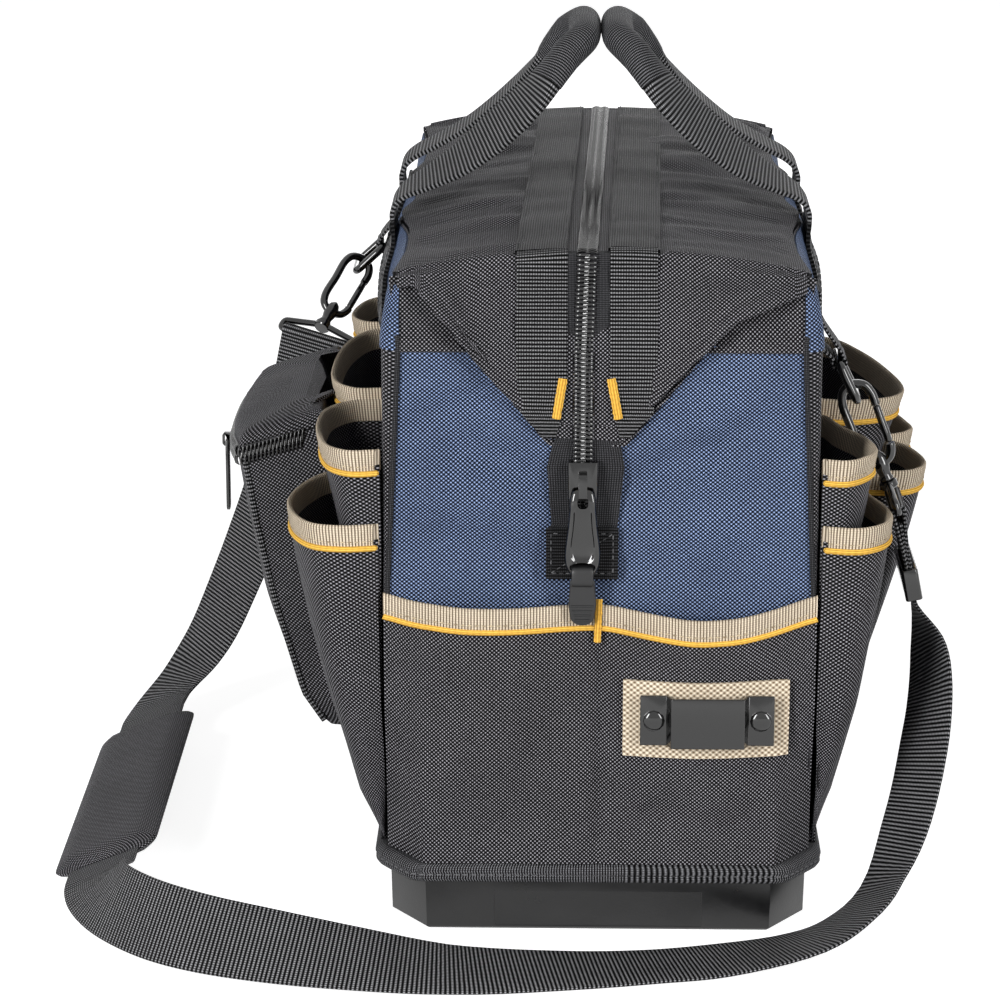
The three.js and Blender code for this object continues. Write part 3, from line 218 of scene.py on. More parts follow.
def put(tree, kind, links=None, **settings):
    made = tree.nodes.new(kind)
    for key, value in settings.items():
        setattr(made, key, value)
    for socket, value in (links or {}).items():
        if isinstance(value, bpy.types.NodeSocket):
            tree.links.new(value, made.inputs[socket])
        else:
            made.inputs[socket].default_value = value
    return made


def blank(name):
    material = bpy.data.materials.new(name)
    material.use_nodes = True
    tree = material.node_tree
    tree.nodes.clear()
    return material, tree


def woven(name, dark, light, threads, grain, rough, depth, sharp=2.0, crossed=False):
    """Cloth with threads spaced by threads[0] mm along U and threads[1] mm along V. Grain says how
    far the threads of each direction show, from 0 to 1, and crossed sets the pips like a draught
    board. A higher sharp leaves smaller light pips. The two colours paint light on the weave: light
    is partly the threads' own colour and partly a painted highlight on the pips, and dark is partly
    their own colour and partly a painted shade in the gaps."""
    material, tree = blank(name)
    where = put(tree, "ShaderNodeTexCoord")
    scale = (math.pi / (threads[0] * MM), math.pi / (threads[1] * MM), 1)
    spot = put(tree, "ShaderNodeMapping", {"Vector": where.outputs["UV"], "Scale": scale})
    parts = put(tree, "ShaderNodeSeparateXYZ", {"Vector": spot.outputs["Vector"]})
    waves = [put(tree, "ShaderNodeMath", {0: parts.outputs[axis]}, operation="SINE")
             for axis in "XY"]
    if crossed:
        both = put(tree, "ShaderNodeMath", {0: waves[0].outputs[0], 1: waves[1].outputs[0]},
                   operation="MULTIPLY")
        height = put(tree, "ShaderNodeMath", {0: both.outputs[0], 1: 0.5, 2: 0.5},
                     operation="MULTIPLY_ADD")
    else:
        rows = []
        for wave, share in zip(waves, grain):
            ridge = put(tree, "ShaderNodeMath", {0: wave.outputs[0]}, operation="ABSOLUTE")
            rows.append(put(tree, "ShaderNodeMath", {0: ridge.outputs[0], 1: share, 2: 1 - share},
                            operation="MULTIPLY_ADD"))
        height = put(tree, "ShaderNodeMath", {0: rows[0].outputs[0], 1: rows[1].outputs[0]},
                     operation="MULTIPLY")
    tone = put(tree, "ShaderNodeMath", {0: height.outputs[0], 1: sharp}, operation="POWER")
    cloud = put(tree, "ShaderNodeTexNoise", {"Vector": where.outputs["Object"], "Scale": 34.0,
                                             "Detail": 3.0, "Roughness": 0.6})
    shift = put(tree, "ShaderNodeMath", {0: cloud.outputs["Fac"], 1: 0.5, 2: 0.75},
                operation="MULTIPLY_ADD")
    # The pips' share of the painted highlight, varied at random by the cloud
    pip_highlight_and_blotch = put(tree, "ShaderNodeMath", {0: tone.outputs[0], 1: shift.outputs[0]},
               operation="MULTIPLY")
    colour = put(tree, "ShaderNodeMix", {"Factor": pip_highlight_and_blotch.outputs[0], 6: linear(dark),
                                         7: linear(light)}, data_type="RGBA")
    bump = put(tree, "ShaderNodeBump", {"Strength": 0.8, "Distance": depth * MM,
                                        "Height": height.outputs[0]})
    shader = put(tree, "ShaderNodeBsdfPrincipled", {
        "Base Color": colour.outputs[2], "Roughness": rough, "Specular IOR Level": CLOTH_GLOSS,
        "Normal": bump.outputs["Normal"]})
    put(tree, "ShaderNodeOutputMaterial", {"Surface": shader.outputs[0]})
    return material


def moulded(name, base, rough, grit, depth, coat=0.0, spots=0.06):
    """Plastic, rubber or painted metal: fine grain of grit mm, and small changes of gloss."""
    material, tree = blank(name)
    where = put(tree, "ShaderNodeTexCoord")
    grain = put(tree, "ShaderNodeTexNoise", {"Vector": where.outputs["Object"],
                                             "Scale": 1 / (grit * MM), "Detail": 2.0})
    wear = put(tree, "ShaderNodeTexNoise", {"Vector": where.outputs["Object"], "Scale": 45.0,
                                            "Detail": 4.0, "Roughness": 0.65})
    gloss = put(tree, "ShaderNodeMapRange", {"Value": wear.outputs["Fac"], "From Min": 0.3,
                                             "From Max": 0.7, "To Min": rough - spots,
                                             "To Max": rough + spots})
    tint = put(tree, "ShaderNodeMapRange", {"Value": wear.outputs["Fac"], "From Min": 0.25,
                                            "From Max": 0.75, "To Min": 0.0, "To Max": 1.0})
    colour = put(tree, "ShaderNodeMix", {"Factor": tint.outputs[0], 6: linear(base[0]),
                                         7: linear(base[1])}, data_type="RGBA")
    bump = put(tree, "ShaderNodeBump", {"Strength": 0.5, "Distance": depth * MM,
                                        "Height": grain.outputs["Fac"]})
    shader = put(tree, "ShaderNodeBsdfPrincipled", {
        "Base Color": colour.outputs[2], "Roughness": gloss.outputs[0], "Coat Weight": coat,
        "Coat Roughness": COAT_ROUGHNESS, "Normal": bump.outputs["Normal"]})
    put(tree, "ShaderNodeOutputMaterial", {"Surface": shader.outputs[0]})
    return material


# Ballistic nylon, woven and coated: pips of thread staggered over gaps. The light colour is a
# painted highlight on the pips, and the near-black one partly a painted shade in the gaps.
# The real threads lie closer, and are drawn about 1 mm apart so that they show
BLACK = woven("ballistic_nylon_black", "#010101", "#bebcc3", (1.05, 0.95), (1, 1), 0.6, 0.4, 5.0,
              crossed=True)
BLUE = woven("ballistic_nylon_blue", "#010410", "#aec6f6", (1.12, 0.95), (1, 1), 0.6, 0.4, 3.6,
             crossed=True)
# Plain nylon of the zips' tape, the corner seams and the inner board: fine, even and dull. Its
# lighter colour is partly a painted highlight on the threads, its darker one partly a painted shade
FINE = woven("plain_nylon_black", "#0e0e0f", "#505053", (0.9, 0.9), (1, 1), 0.7, 0.15, 1.5)
# Ribbed nylon tape at the zip's foot, darker and flatter than the webbing; its ribs carry a faint
# painted highlight over a painted shade between them
DARK_TAPE = woven("dark_ribbed_tape", "#010101", "#3c3c3e", (1.0, 1.5), (0.5, 1), 0.6, 0.3, 3.0)
# Nylon webbing, woven in ribs across its length, with the beads of its threads along each rib.
# The light colour is a painted highlight on the ribs, and the near-black one a painted shade
# between
WEBBING = woven("nylon_webbing", "#010101", "#adadb0", (1.15, 2.1), (0.45, 1), 0.6, 0.5, 4.2)
RIBBED = woven("ribbed_nylon_webbing", "#010101", "#9a9a9c", (1.15, 1.85), (0.4, 1), 0.6, 0.6, 4.6)
# Polypropylene webbing of the grips and the rim: finer ribs, with the same painted highlight on
# the ribs and painted shade between them
FINE_RIBBED = woven("fine_ribbed_webbing", "#010101", "#8e8e92", (0.95, 1.3), (0.4, 1), 0.6, 0.3,
                    4.0)
# Tan polyester grosgrain tape, ribs across, and the coarser tan webbing of the clip's patch. The
# pale colour is partly a painted highlight on the ribs and pips, the brown one partly a painted
# shade
GROSGRAIN = woven("tan_grosgrain", "#5a4a38", "#eadbc4", (1.5, 1.1), (1, 0.25), 0.8, 0.4, 1.5)
TAN_WEBBING = woven("tan_webbing", "#6a553c", "#fff0d8", (1.6, 1.3), (1, 1), 0.8, 0.6, 1.1,
                    crossed=True)
# Twisted polyester of the piping and the bar tacks: strands side by side, bright and even. The
# lighter colour is partly a painted highlight on each strand, the darker one partly a painted shade
PIPING = woven("yellow_piping", "#a06a1c", "#fac95c", (1.1, 3), (0.8, 0.2), 0.7, 0.25, 1.0)
# Spun polyester sewing thread, one stitch a strand, lighter on each strand's crown as a painted
# highlight and darker between strands as a painted shade
THREAD = woven("sewing_thread_tan", "#8a7a62", "#cdbb9c", (0.6, 0.6), (1, 0), 0.7, 0.1, 1.0)
DARK_THREAD = woven("sewing_thread_black", "#1a1a1b", "#6a6a6c", (0.6, 0.6), (1, 0), 0.6, 0.1, 1.0)
# Injection-moulded polypropylene with a fine spark-eroded grain
POLYPROPYLENE = moulded("moulded_polypropylene", ("#060607", "#0e0e0f"), 0.32, 0.9, 0.1)
# Zinc die castings and steel wire under gloss black paint: dark, with hard bright edges
PAINTED = moulded("black_painted_zinc", ("#010101", "#030303"), 0.12, 0.8, 0.004, coat=0.5,
                  spots=0.03)
# Nylon monofilament of the zips, bent into a coil: a bright point on each turn
COIL = moulded("moulded_nylon_coil", ("#050505", "#0c0c0d"), 0.2, 0.5, 0.01, coat=0.5)
# Soft moulded rubber of the zip's tab: dull, with a broad soft sheen
RUBBER = moulded("soft_moulded_rubber", ("#0d0d0e", "#181819"), 0.42, 0.7, 0.03)


# Meshes
def lengths_along(grid):
    """Mean distance of each column from the first one, so that the cloth's grain stays straight."""
    total = [0.0] * len(grid[0])
    for row in grid:
        run = 0.0
        for k in range(1, len(row)):
            run += (row[k] - row[k - 1]).length
            total[k] += run
    return [value / len(grid) for value in total]


def add_piece(name, points, faces, corners, material, body):
    mesh = bpy.data.meshes.new(name)
    mesh.from_pydata([p * MM for p in points], [], faces)
    layer = mesh.uv_layers.new(name="UVMap")
    spots = [spot for face in corners for spot in face]
    layer.data.foreach_set("uv", [value * MM for spot in spots for value in spot])
    mesh.materials.append(material)
    mesh.update()
    obj = bpy.data.objects.new(name, mesh)
    bpy.context.scene.collection.objects.link(obj)
    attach(obj, body)
    return obj


def grid_faces(grid, around, ring, flip, first=0):
    rows = len(grid)
    cols = len(grid[0])
    u = lengths_along(grid)
    v = lengths_along([list(column) for column in zip(*grid)])
    u_end = u[-1] + (grid[0][-1] - grid[0][0]).length
    v_end = v[-1] + (grid[-1][0] - grid[0][0]).length
    u.append(u_end)
    v.append(v_end)
    faces = []
    corners = []
    for r in range(rows if ring else rows - 1):
        for c in range(cols if around else cols - 1):
            square = [(r, c), (r, c + 1), (r + 1, c + 1), (r + 1, c)]
            if flip:
                square.reverse()
            faces.append([first + (a % rows) * cols + b % cols for a, b in square])
            corners.append([(u[b], v[a]) for a, b in square])
    return faces, corners


def select_only(obj):
    bpy.ops.object.select_all(action="DESELECT")
    obj.select_set(True)
    bpy.context.view_layer.objects.active = obj


def modify(obj, kind, **settings):
    select_only(obj)
    modifier = obj.modifiers.new(kind.lower(), kind)
    for key, value in settings.items():
        setattr(modifier, key, value)
    bpy.ops.object.modifier_apply(modifier=modifier.name)


def round_off(obj, angle=35):
    select_only(obj)
    bpy.ops.object.shade_smooth_by_angle(angle=math.radians(angle))


def face_outwards(obj):
    made = bmesh.new()
    made.from_mesh(obj.data)
    bmesh.ops.remove_doubles(made, verts=made.verts, dist=1e-6)
    bmesh.ops.recalc_face_normals(made, faces=made.faces)
    made.to_mesh(obj.data)
    made.free()
    obj.data.update()


def column_spots(grid):
    """Each point's place on the cloth: U is its x, and V is measured up its column."""
    run = [p.z for p in grid[0]]
    spots = []
    for r, row in enumerate(grid):
        if r:
            run = [v + (b - a).length for v, a, b in zip(run, grid[r - 1], row)]
        spots.extend([(p.x, v) for p, v in zip(row, run)])
    return spots


def cloth(name, grid, material, body, thick, flip=False, lay=None):
    """A sheet of fabric through a grid of points on its outer face, given its thickness inwards.
    Its threads follow the grid, the two axes that lay names, or x and the columns."""
    faces, corners = grid_faces(grid, False, False, flip)
    points = [p for row in grid for p in row]
    if lay == "columns":
        spots = column_spots(grid)
        corners = [[spots[k] for k in face] for face in faces]
    elif lay:
        corners = [[tuple(getattr(points[k], axis) for axis in lay) for k in face]
                   for face in faces]
    obj = add_piece(name, points, faces, corners, material, body)
    modify(obj, "SOLIDIFY", thickness=thick * MM, offset=-1.0, use_even_offset=False)
    round_off(obj, 50)
    return obj


def turn_grain(obj):
    """Swap the cloth's two directions, for a tape whose ribs cross it."""
    for loop in obj.data.uv_layers[0].data:
        loop.uv = (loop.uv[1], loop.uv[0])


def tube(name, sections, material, body, closed=False, angle=40):
    """A solid through a row of closed outlines, with its ends filled."""
    faces, corners = grid_faces(sections, True, closed, False)
    count = len(sections[0])
    last = (len(sections) - 1) * count
    points = [p for row in sections for p in row]
    if not closed:
        for ring, start in ((range(count), 0), (reversed(range(count)), last)):
            ring = list(ring)
            faces.append([start + k for k in ring])
            centre = sum((points[start + k] for k in ring), Vector()) / count
            corners.append([((points[start + k] - centre).x, (points[start + k] - centre).y)
                            for k in ring])
    obj = add_piece(name, points, faces, corners, material, body)
    face_outwards(obj)
    round_off(obj, angle)
    return obj


def ellipse(count, a, b, turn=0.0):
    angles = [turn + 2 * math.pi * k / count for k in range(count)]
    return [(a * math.cos(angle), b * math.sin(angle)) for angle in angles]


def flat_section(wide, thick, corner=2):
    """A flat strap's outline: straight faces and rounded edges."""
    a = wide / 2
    b = thick / 2
    turns = [math.radians(t) for t in spread(-90, 90, 2 * corner)]
    right = [(a - b + b * math.cos(t), b * math.sin(t)) for t in turns]
    top = [((a - b) * s, b) for s in (0.5, 0, -0.5)]
    left = [(-x, -y) for x, y in right]
    foot = [((b - a) * s, -b) for s in (0.5, 0, -0.5)]
    return right + top + left + foot


def rounded(corners, radius, steps=5):
    """A closed line with its corners turned on a radius."""
    line = []
    for k, here in enumerate(corners):
        before = corners[k - 1]
        after = corners[(k + 1) % len(corners)]
        start = here + (before - here).normalized() * min(radius, (before - here).length * 0.48)
        finish = here + (after - here).normalized() * min(radius, (after - here).length * 0.48)
        for t in spread(0, 1, steps):
            line.append(start.lerp(here, t).lerp(here.lerp(finish, t), t))
    return line


def sections_along(points, sides, outline, closed=False):
    count = len(points)
    rows = []
    for i, point in enumerate(points):
        before = points[(i - 1) % count if closed else max(0, i - 1)]
        after = points[(i + 1) % count if closed else min(count - 1, i + 1)]
        along = (after - before).normalized()
        side = sides(i).copy()
        side -= along * side.dot(along)
        side.normalize()
        up = along.cross(side)
        shape = outline(i) if callable(outline) else outline
        rows.append([point + side * a + up * b for a, b in shape])
    return rows


def wire(name, points, face, radius, material, body, closed=False, count=14):
    rows = sections_along(points, lambda i: face, ellipse(count, radius, radius), closed)
    return tube(name, rows, material, body, closed)


def cord_line(name, points, radius, material, body, count=8):
    """Piping or a seam cord: a thin round line whose side turns with it."""
    sides = []
    side = None
    for i in range(len(points)):
        along = (points[min(len(points) - 1, i + 1)] - points[max(0, i - 1)]).normalized()
        if side is None:
            side = along.orthogonal().normalized()
        side = (side - along * side.dot(along)).normalized()
        sides.append(side)
    rows = sections_along(points, lambda i: sides[i], ellipse(count, radius, radius))
    return tube(name, rows, material, body)


def stitches(name, points, outs, pitch, length, wide, material, body):
    """A row of stitches, each a small lozenge of thread lying on the cloth."""
    run = [0.0]
    for a, b in zip(points, points[1:]):
        run.append(run[-1] + (b - a).length)
    total = run[-1]
    count = max(1, int(total / pitch))
    verts = []
    faces = []
    corners = []
    k = 0
    for i in range(count):
        s = (i + 0.5) * total / count
        while k < len(run) - 2 and run[k + 1] < s:
            k += 1
        t = (s - run[k]) / max(1e-6, run[k + 1] - run[k])
        spot = points[k].lerp(points[k + 1], t)
        out = outs[k].lerp(outs[k + 1], t).normalized()
        along = (points[k + 1] - points[k]).normalized()
        side = along.cross(out)
        first = len(verts)
        verts.append(spot - along * length / 2)
        for share in (-0.28, 0.28):
            for a, b in ellipse(5, wide / 2, wide / 2, math.pi / 2):
                verts.append(spot + along * length * share + side * a + out * b)
        verts.append(spot + along * length / 2)
        for j in range(5):
            n = (j + 1) % 5
            faces.append([first, first + 1 + n, first + 1 + j])
            faces.append([first + 1 + j, first + 1 + n, first + 6 + n, first + 6 + j])
            faces.append([first + 6 + j, first + 6 + n, first + 11])
        corners.extend([[(s, 0.1 * m) for m in range(len(face))] for face in faces[-15:]])
    obj = add_piece(name, verts, faces, corners, material, body)
    face_outwards(obj)
    round_off(obj, 60)
    return obj


def softened(name, node, width, material, body, segments=3, angle=32):
    """A moulded or cast piece: the solid's own shape with its edges rounded."""
    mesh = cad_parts[node].data.copy()
    obj = bpy.data.objects.new(name, mesh)
    bpy.context.scene.collection.objects.link(obj)
    made = bmesh.new()
    made.from_mesh(mesh)
    bmesh.ops.remove_doubles(made, verts=made.verts, dist=2e-6)
    bmesh.ops.dissolve_limit(made, angle_limit=math.radians(1), verts=made.verts,
                             edges=made.edges)
    made.to_mesh(mesh)
    made.free()
    mesh.materials.clear()
    mesh.materials.append(material)
    modify(obj, "BEVEL", width=width * MM, segments=segments, limit_method="ANGLE",
           angle_limit=math.radians(angle), use_clamp_overlap=True)
    round_off(obj, 40)
    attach(obj, body)
    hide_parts(node)
    return obj


def wavy(grid, height, size, hold=None, stretch=(1, 1, 1), seed=0.0):
    """Soft creases: each point moves off the cloth by smooth noise of that size in mm."""
    rows = len(grid)
    cols = len(grid[0])
    moved = []
    for r in range(rows):
        row = []
        for c in range(cols):
            p = grid[r][c]
            across = grid[r][min(cols - 1, c + 1)] - grid[r][max(0, c - 1)]
            up = grid[min(rows - 1, r + 1)][c] - grid[max(0, r - 1)][c]
            normal = across.cross(up)
            normal = normal.normalized() if normal.length > 1e-9 else Vector()
            spot = Vector((p.x * stretch[0], p.y * stretch[1], p.z * stretch[2])) / size
            lift = height * noise.noise(spot + Vector((seed, seed * 1.7, -seed)))
            row.append(p + normal * lift * (hold(p) if hold else 1))
        moved.append(row)
    return moved


# The body of the bag
def make_base():
    softened("moulded_tray", "base_tray", 1.3, POLYPROPYLENE, "bag")
    softened("inner_board", "floor_board", 0.6, FINE, "bag")


def base_line(out, z, corner=6):
    """The plan of the foot: an octagon with softly turned corners."""
    a = FOOT_WIDTH / 2 + out
    b = BODY_LENGTH / 2 + BASE_PROUD + out
    plan = [(a - CORNER_X, -b), (a, -b + CORNER_Y), (a, b - CORNER_Y), (a - CORNER_X, b),
            (-a + CORNER_X, b), (-a, b - CORNER_Y), (-a, -b + CORNER_Y), (-a + CORNER_X, -b)]
    line = []
    for k, (x, y) in enumerate(plan):
        here = vec(x, y, z)
        before = vec(*plan[k - 1], z)
        after = vec(*plan[(k + 1) % 8], z)
        start = here + (before - here).normalized() * corner
        end = here + (after - here).normalized() * corner
        for t in (0, 0.25, 0.5, 0.75, 1):
            line.append(start.lerp(here, t).lerp(here.lerp(end, t), t))
        if (after - here).length > 60:
            steps = int((after - here).length / 25)
            line.extend([end.lerp(after, (j + 1) / (steps + 2)) for j in range(steps)])
    return line


def make_rim():
    foot = BASE_HEIGHT - RIM_HEIGHT
    inner = -BASE_INSET + 0.4
    outline = [(inner, foot), (3.2, foot), (RIM_REACH - 1.3, foot + 0.8),
               (RIM_REACH - 0.3, foot + 2.6), (RIM_REACH - 0.7, foot + 4.6),
               (RIM_REACH, foot + 6.4), (RIM_REACH - 0.5, foot + 8.4),
               (RIM_REACH - 1.8, BASE_HEIGHT - 0.3), (3, BASE_HEIGHT), (inner, BASE_HEIGHT)]
    rows = [list(row) for row in zip(*[base_line(out, z) for out, z in outline])]
    rim = tube("rim_binding", rows, FINE_RIBBED, "bag", closed=True, angle=50)
    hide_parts("base_rim_binding")
    line = base_line(RIM_REACH - 0.5, foot + 4.6)
    line.append(line[0].copy())
    outs = [vec(p.x / FOOT_WIDTH, p.y / BODY_LENGTH, 0).normalized() for p in line]
    sewn = stitches("rim_stitches", line, outs, 4.2, 3.0, 0.7, DARK_THREAD, "bag")


# A soft dent or swelling of the fabric: place, half sizes along and across, tilt, and depth
END_FOLDS = [(-72, 262, 30, 7, 20, -2.2), (-55, 236, 42, 9, -24, -2.4),
             (-62, 214, 38, 12, -18, 2.0), (-84, 196, 26, 10, 12, -1.8), (40, 236, 40, 8, 24, -2.6),
             (60, 256, 30, 9, 30, 2.2), (72, 218, 34, 11, 20, -1.8), (52, 200, 34, 9, 8, 1.6),
             (-40, 186, 36, 9, -6, -1.6), (24, 188, 28, 9, 14, -1.4)]


def fold_depth(x, z, folds):
    """The depth of all the folds together at one place."""
    total = 0
    for cx, cz, wide, high, tilt, depth in folds:
        turn = math.radians(tilt)
        a = (x - cx) * math.cos(turn) + (z - cz) * math.sin(turn)
        b = -(x - cx) * math.sin(turn) + (z - cz) * math.cos(turn)
        total += depth * math.exp(-(a / wide) ** 2 - (b / high) ** 2)
    return total


def make_end_panel(word, side):
    half = SHOULDER_WIDTH / 2
    columns = spread(-half, half, 84)
    grid = []
    for t in spread(0, 1, 56):
        row = []
        for x in columns:
            top = end_panel_top(x) + 1.5
            z = mix(BASE_HEIGHT + GAP, top, t)
            inside = x * (end_edge(z) + 1) / half
            edge = unit(half - abs(x), 0, 14) * unit(top - z, 0, 12)
            proud = 1.5 * fold_depth(x, z, END_FOLDS) * edge
            row.append(on_end(side, inside, z, proud - 0.4))
        grid.append(row)
    grid = wavy(grid, 1.6, 34, lambda p: unit(half - abs(p.x), 8, 22), seed=3.0 + side)
    panel = cloth(f"{word}_panel", grid, BLUE, "bag", WALL, flip=side > 0, lay="xz")
    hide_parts(f"{word}_end_panel")


# The folded edge of the top's end: [x, height], from the ear at one corner by the V to the other
FOLD_EDGE = [(-105, 321), (-97.7, 319.5), (-93.9, 317), (-85, 308), (-76.6, 299.7), (-67.2, 287.3),
             (-57.3, 276.5), (-28.1, 246.7), (11.3, 245), (21.1, 257.1), (48, 285), (67, 303),
             (80, 307.5), (90, 311), (105, 315)]


def fold_height(x):
    """The height of the folded edge, which ends a little under the top's own edge."""
    for (xa, a), (xb, b) in zip(FOLD_EDGE, FOLD_EDGE[1:]):
        if x <= xb:
            return min(mix(a, b, unit(x, xa, xb)), crown(x) - 5)
    return crown(x) - 5


def fold_stand(x):
    """How far the folded edge stands off the cloth behind it; it is sewn down under the webbing."""
    return mix(1.2, 8.5, unit(abs(x - ZIP_NEAR_X), 28, 60)) * mix(1, 0.45, unit(abs(x), 88, 104))


def make_hip(word, side):
    """The top's end: a fold that hangs over the end panel, and the gusset tucked in behind it."""
    half = SHOULDER_WIDTH / 2
    columns = spread(-half, half, 130)

    def place(x, z, proud):
        return on_end(side, x * (end_edge(min(z, SIDE_TOP)) + 1) / half, z, proud)

    hem = ((7, -3.6), (3, -3.4), (0.3, -2.6), (-0.7, -1.2), (-0.4, -0.3))
    grid = []
    for up, back in hem:
        grid.append([place(x, min(fold_height(x) + up, crown(x) - 2.5),
                           max(0.8, fold_stand(x) + back)) for x in columns])
    steps = 40
    for k in range(steps + 1):
        row = []
        for x in columns:
            foot = fold_height(x)
            z = mix(foot + 0.5, crown(x), (k / steps) ** 1.2)
            above = (z - foot) * math.sqrt(0.5)
            stand = fold_stand(x)
            lift = mix(1.2, stand, math.exp(-((above / 15) ** 2)))
            lift -= 0.16 * stand * math.exp(-(((above - 5.5) / 1.4) ** 2))
            row.append(place(x, z, lift * unit(steps - k, 0, 4) + 0.6))
        grid.append(row)

    def loose(p):
        above = unit(p.z - fold_height(p.x), 5, 16)
        return unit(abs(p.x - ZIP_NEAR_X), 34, 52) * unit(crown(p.x) - p.z, 0, 14) * above

    grid = wavy(grid, 2.6, 24, loose, (1, 1, 0.7), 8.0 + side)
    for inward, up in ((0.6, 0.9), (2.2, 1.7), (4.5, 1.8), (6.5, 1.0)):
        row = []
        for x in columns:
            share = unit(abs(x - ZIP_NEAR_X), 34, 40)
            spot = place(x, crown(x), 0.6)
            row.append(spot + vec(0, -side * inward * share, up * share))
        grid.append(row)
    grid = [[shoulder(p) for p in row] for row in grid]
    hip = cloth(f"{word}_top_fold", grid, BLACK, "bag", 1.2, flip=side > 0, lay="columns")
    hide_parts(f"{word}_end_fold")
    grid = []
    for t in spread(0, 1, 16):
        row = []
        for x in columns:
            foot = end_panel_top(x) - 1.5
            z = mix(foot, max(foot + 3, min(crown(x) - 1, fold_height(x) + 9)), t)
            row.append(place(x, z, 1.2 - 3.2 * math.sin(math.pi * unit(t, 0.08, 1))))
        grid.append(row)

    def slack(p):
        return unit(abs(p.x - ZIP_NEAR_X), 58, 74) * unit(p.z - end_panel_top(p.x), 4, 14)

    grid = wavy(grid, 2.4, 16, slack, (1, 1, 0.6), 4.0 + side)
    tuck = cloth(f"{word}_fold_gusset", grid, BLACK, "bag", 1.2, flip=side > 0, lay="xz")


def side_bulge(y, z):
    if abs(y) > BULGE_REACH:
        return 0
    along = math.cos(math.pi * y / (2 * BULGE_REACH)) ** 2
    return BULGE_DEPTH * math.sin(math.pi * unit(z, BULGE_FOOT, SIDE_TOP)) * along


def corner_turn(z, way, lift):
    """The cloth's way round an upright corner, from the side to the end."""
    half = half_width(z)
    start = vec(half + lift, way * (end_reach(z) - corner_cut(half, z) - corner_radius(z)), z)
    finish = vec(end_edge(z), way * (end_reach(z) - corner_cut(end_edge(z), z) + lift), z)
    peak = vec(half + lift, finish.y, z)
    return [start.lerp(peak, t).lerp(peak.lerp(finish, t), t) for t in spread(0, 1, 7)]


def make_side_panel(word, side):
    columns = spread(-1, 1, 90)
    levels = spread(BASE_HEIGHT + GAP, SIDE_TOP, 56)

    def strip(low, high, lift):
        grid = []
        for z in [low] + [z for z in levels if low < z < high] + [high]:
            near = corner_turn(z, -1, lift)
            far = corner_turn(z, 1, lift)
            row = list(reversed(near[1:]))
            for u in columns:
                y = mix(near[0].y, far[0].y, (u + 1) / 2)
                row.append(vec(half_width(z) + side_bulge(y, z) + lift, y, z))
            row += far[1:]
            grid.append([shoulder(vec(side * p.x, p.y, p.z)) for p in row])
        return wavy(grid, 1.2, 30, lambda p: unit(200 - abs(p.y), 0, 30)
                    * unit(SIDE_TOP - p.z, 0, 12) * unit(p.z, 225, 245), seed=side * 2.0)

    foot = BASE_HEIGHT + GAP
    panel = cloth(f"{word}_side_cloth", strip(foot, SIDE_TOP, 0), BLACK, "bag", WALL, side < 0)
    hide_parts(f"{word}_side_panel")
    band = cloth(f"{word}_side_band", strip(288, SIDE_TOP - 1, 0.9), BLUE, "bag", 1, side < 0)


def make_corner_bindings():
    for word, side in (("near", -1), ("far", 1)):
        for hand, way in (("left", -1), ("right", 1)):
            line = []
            for z in spread(BASE_HEIGHT + 1, END_TOP + 6, 40):
                x = end_edge(z) + 1
                y = end_reach(z) - corner_cut(x, z) + 0.4
                line.append(shoulder(vec(way * x, side * y, z)))
            edge = cord_line(f"{word}_{hand}_corner_binding", line, 1.3, FINE, "bag", 10)


# The top: two flaps that meet at the zip, with their webbing
def top_strip(low_x, high_x, lift, steps, ends):
    grid = []
    for t in spread(0, 1, steps):
        row = []
        for y in ends:
            x = mix(low_x(y), high_x(y), t)
            row.append(vec(x, y, crown(x) + lift))
        grid.append(row)
    return grid


def top_creases(p):
    """Shallow sags between the zip and the side."""
    return unit(abs(p.x + 3), 12, 40) * unit(104 - abs(p.x), 0, 10)


def make_flap(word, side):
    ys = spread(-FLAP_END, FLAP_END, 96)
    hinge = SHOULDER_WIDTH / 2 - FLAP_INSET
    body = f"top_{word}"

    def beside_zip(distance):
        return lambda y: zip_x(y) + side * distance

    grid = top_strip(lambda y: side * hinge, beside_zip(ZIP_WIDTH / 2 - 0.6), 0, 30, ys)
    grid = wavy(grid, 4.2, 30, top_creases, (0.35, 1, 1), 5.0 * side)
    grid = wavy(grid, 1.8, 12, top_creases, (0.3, 1, 1), 9.0 * side)
    grid = [[shoulder(p) for p in row] for row in grid]
    flap = cloth(f"{word}_flap", grid, BLACK, body, WALL, flip=side < 0, lay="xy")
    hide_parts(f"top_flap_{word}")
    near = beside_zip(TOP_WEBBING_INSET)
    far = beside_zip(TOP_WEBBING_INSET + TOP_WEBBING_WIDTH)
    grid = top_strip(far, near, GAP + WEBBING_THICK, 8, ys)
    grid = wavy(grid, 1.6, 26, None, (0.3, 1, 1), 5.0 * side)
    grid = [list(column) for column in zip(*grid)]
    band = cloth(f"{word}_flap_webbing", grid, RIBBED, body, WEBBING_THICK, flip=side > 0)
    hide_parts(f"top_webbing_{word}")
    for k, across in enumerate((1.6, TOP_WEBBING_WIDTH - 1.6)):
        inset = TOP_WEBBING_INSET + across
        line = [vec(zip_x(y) + side * inset, y, crown(inset) + WEBBING_THICK + 0.5) for y in ys]
        up = [vec(0, 0, 1)] * len(line)
        sewn = stitches(f"{word}_flap_stitches_{k}", line, up, 3.6, 2.6, 0.5, DARK_THREAD, body)


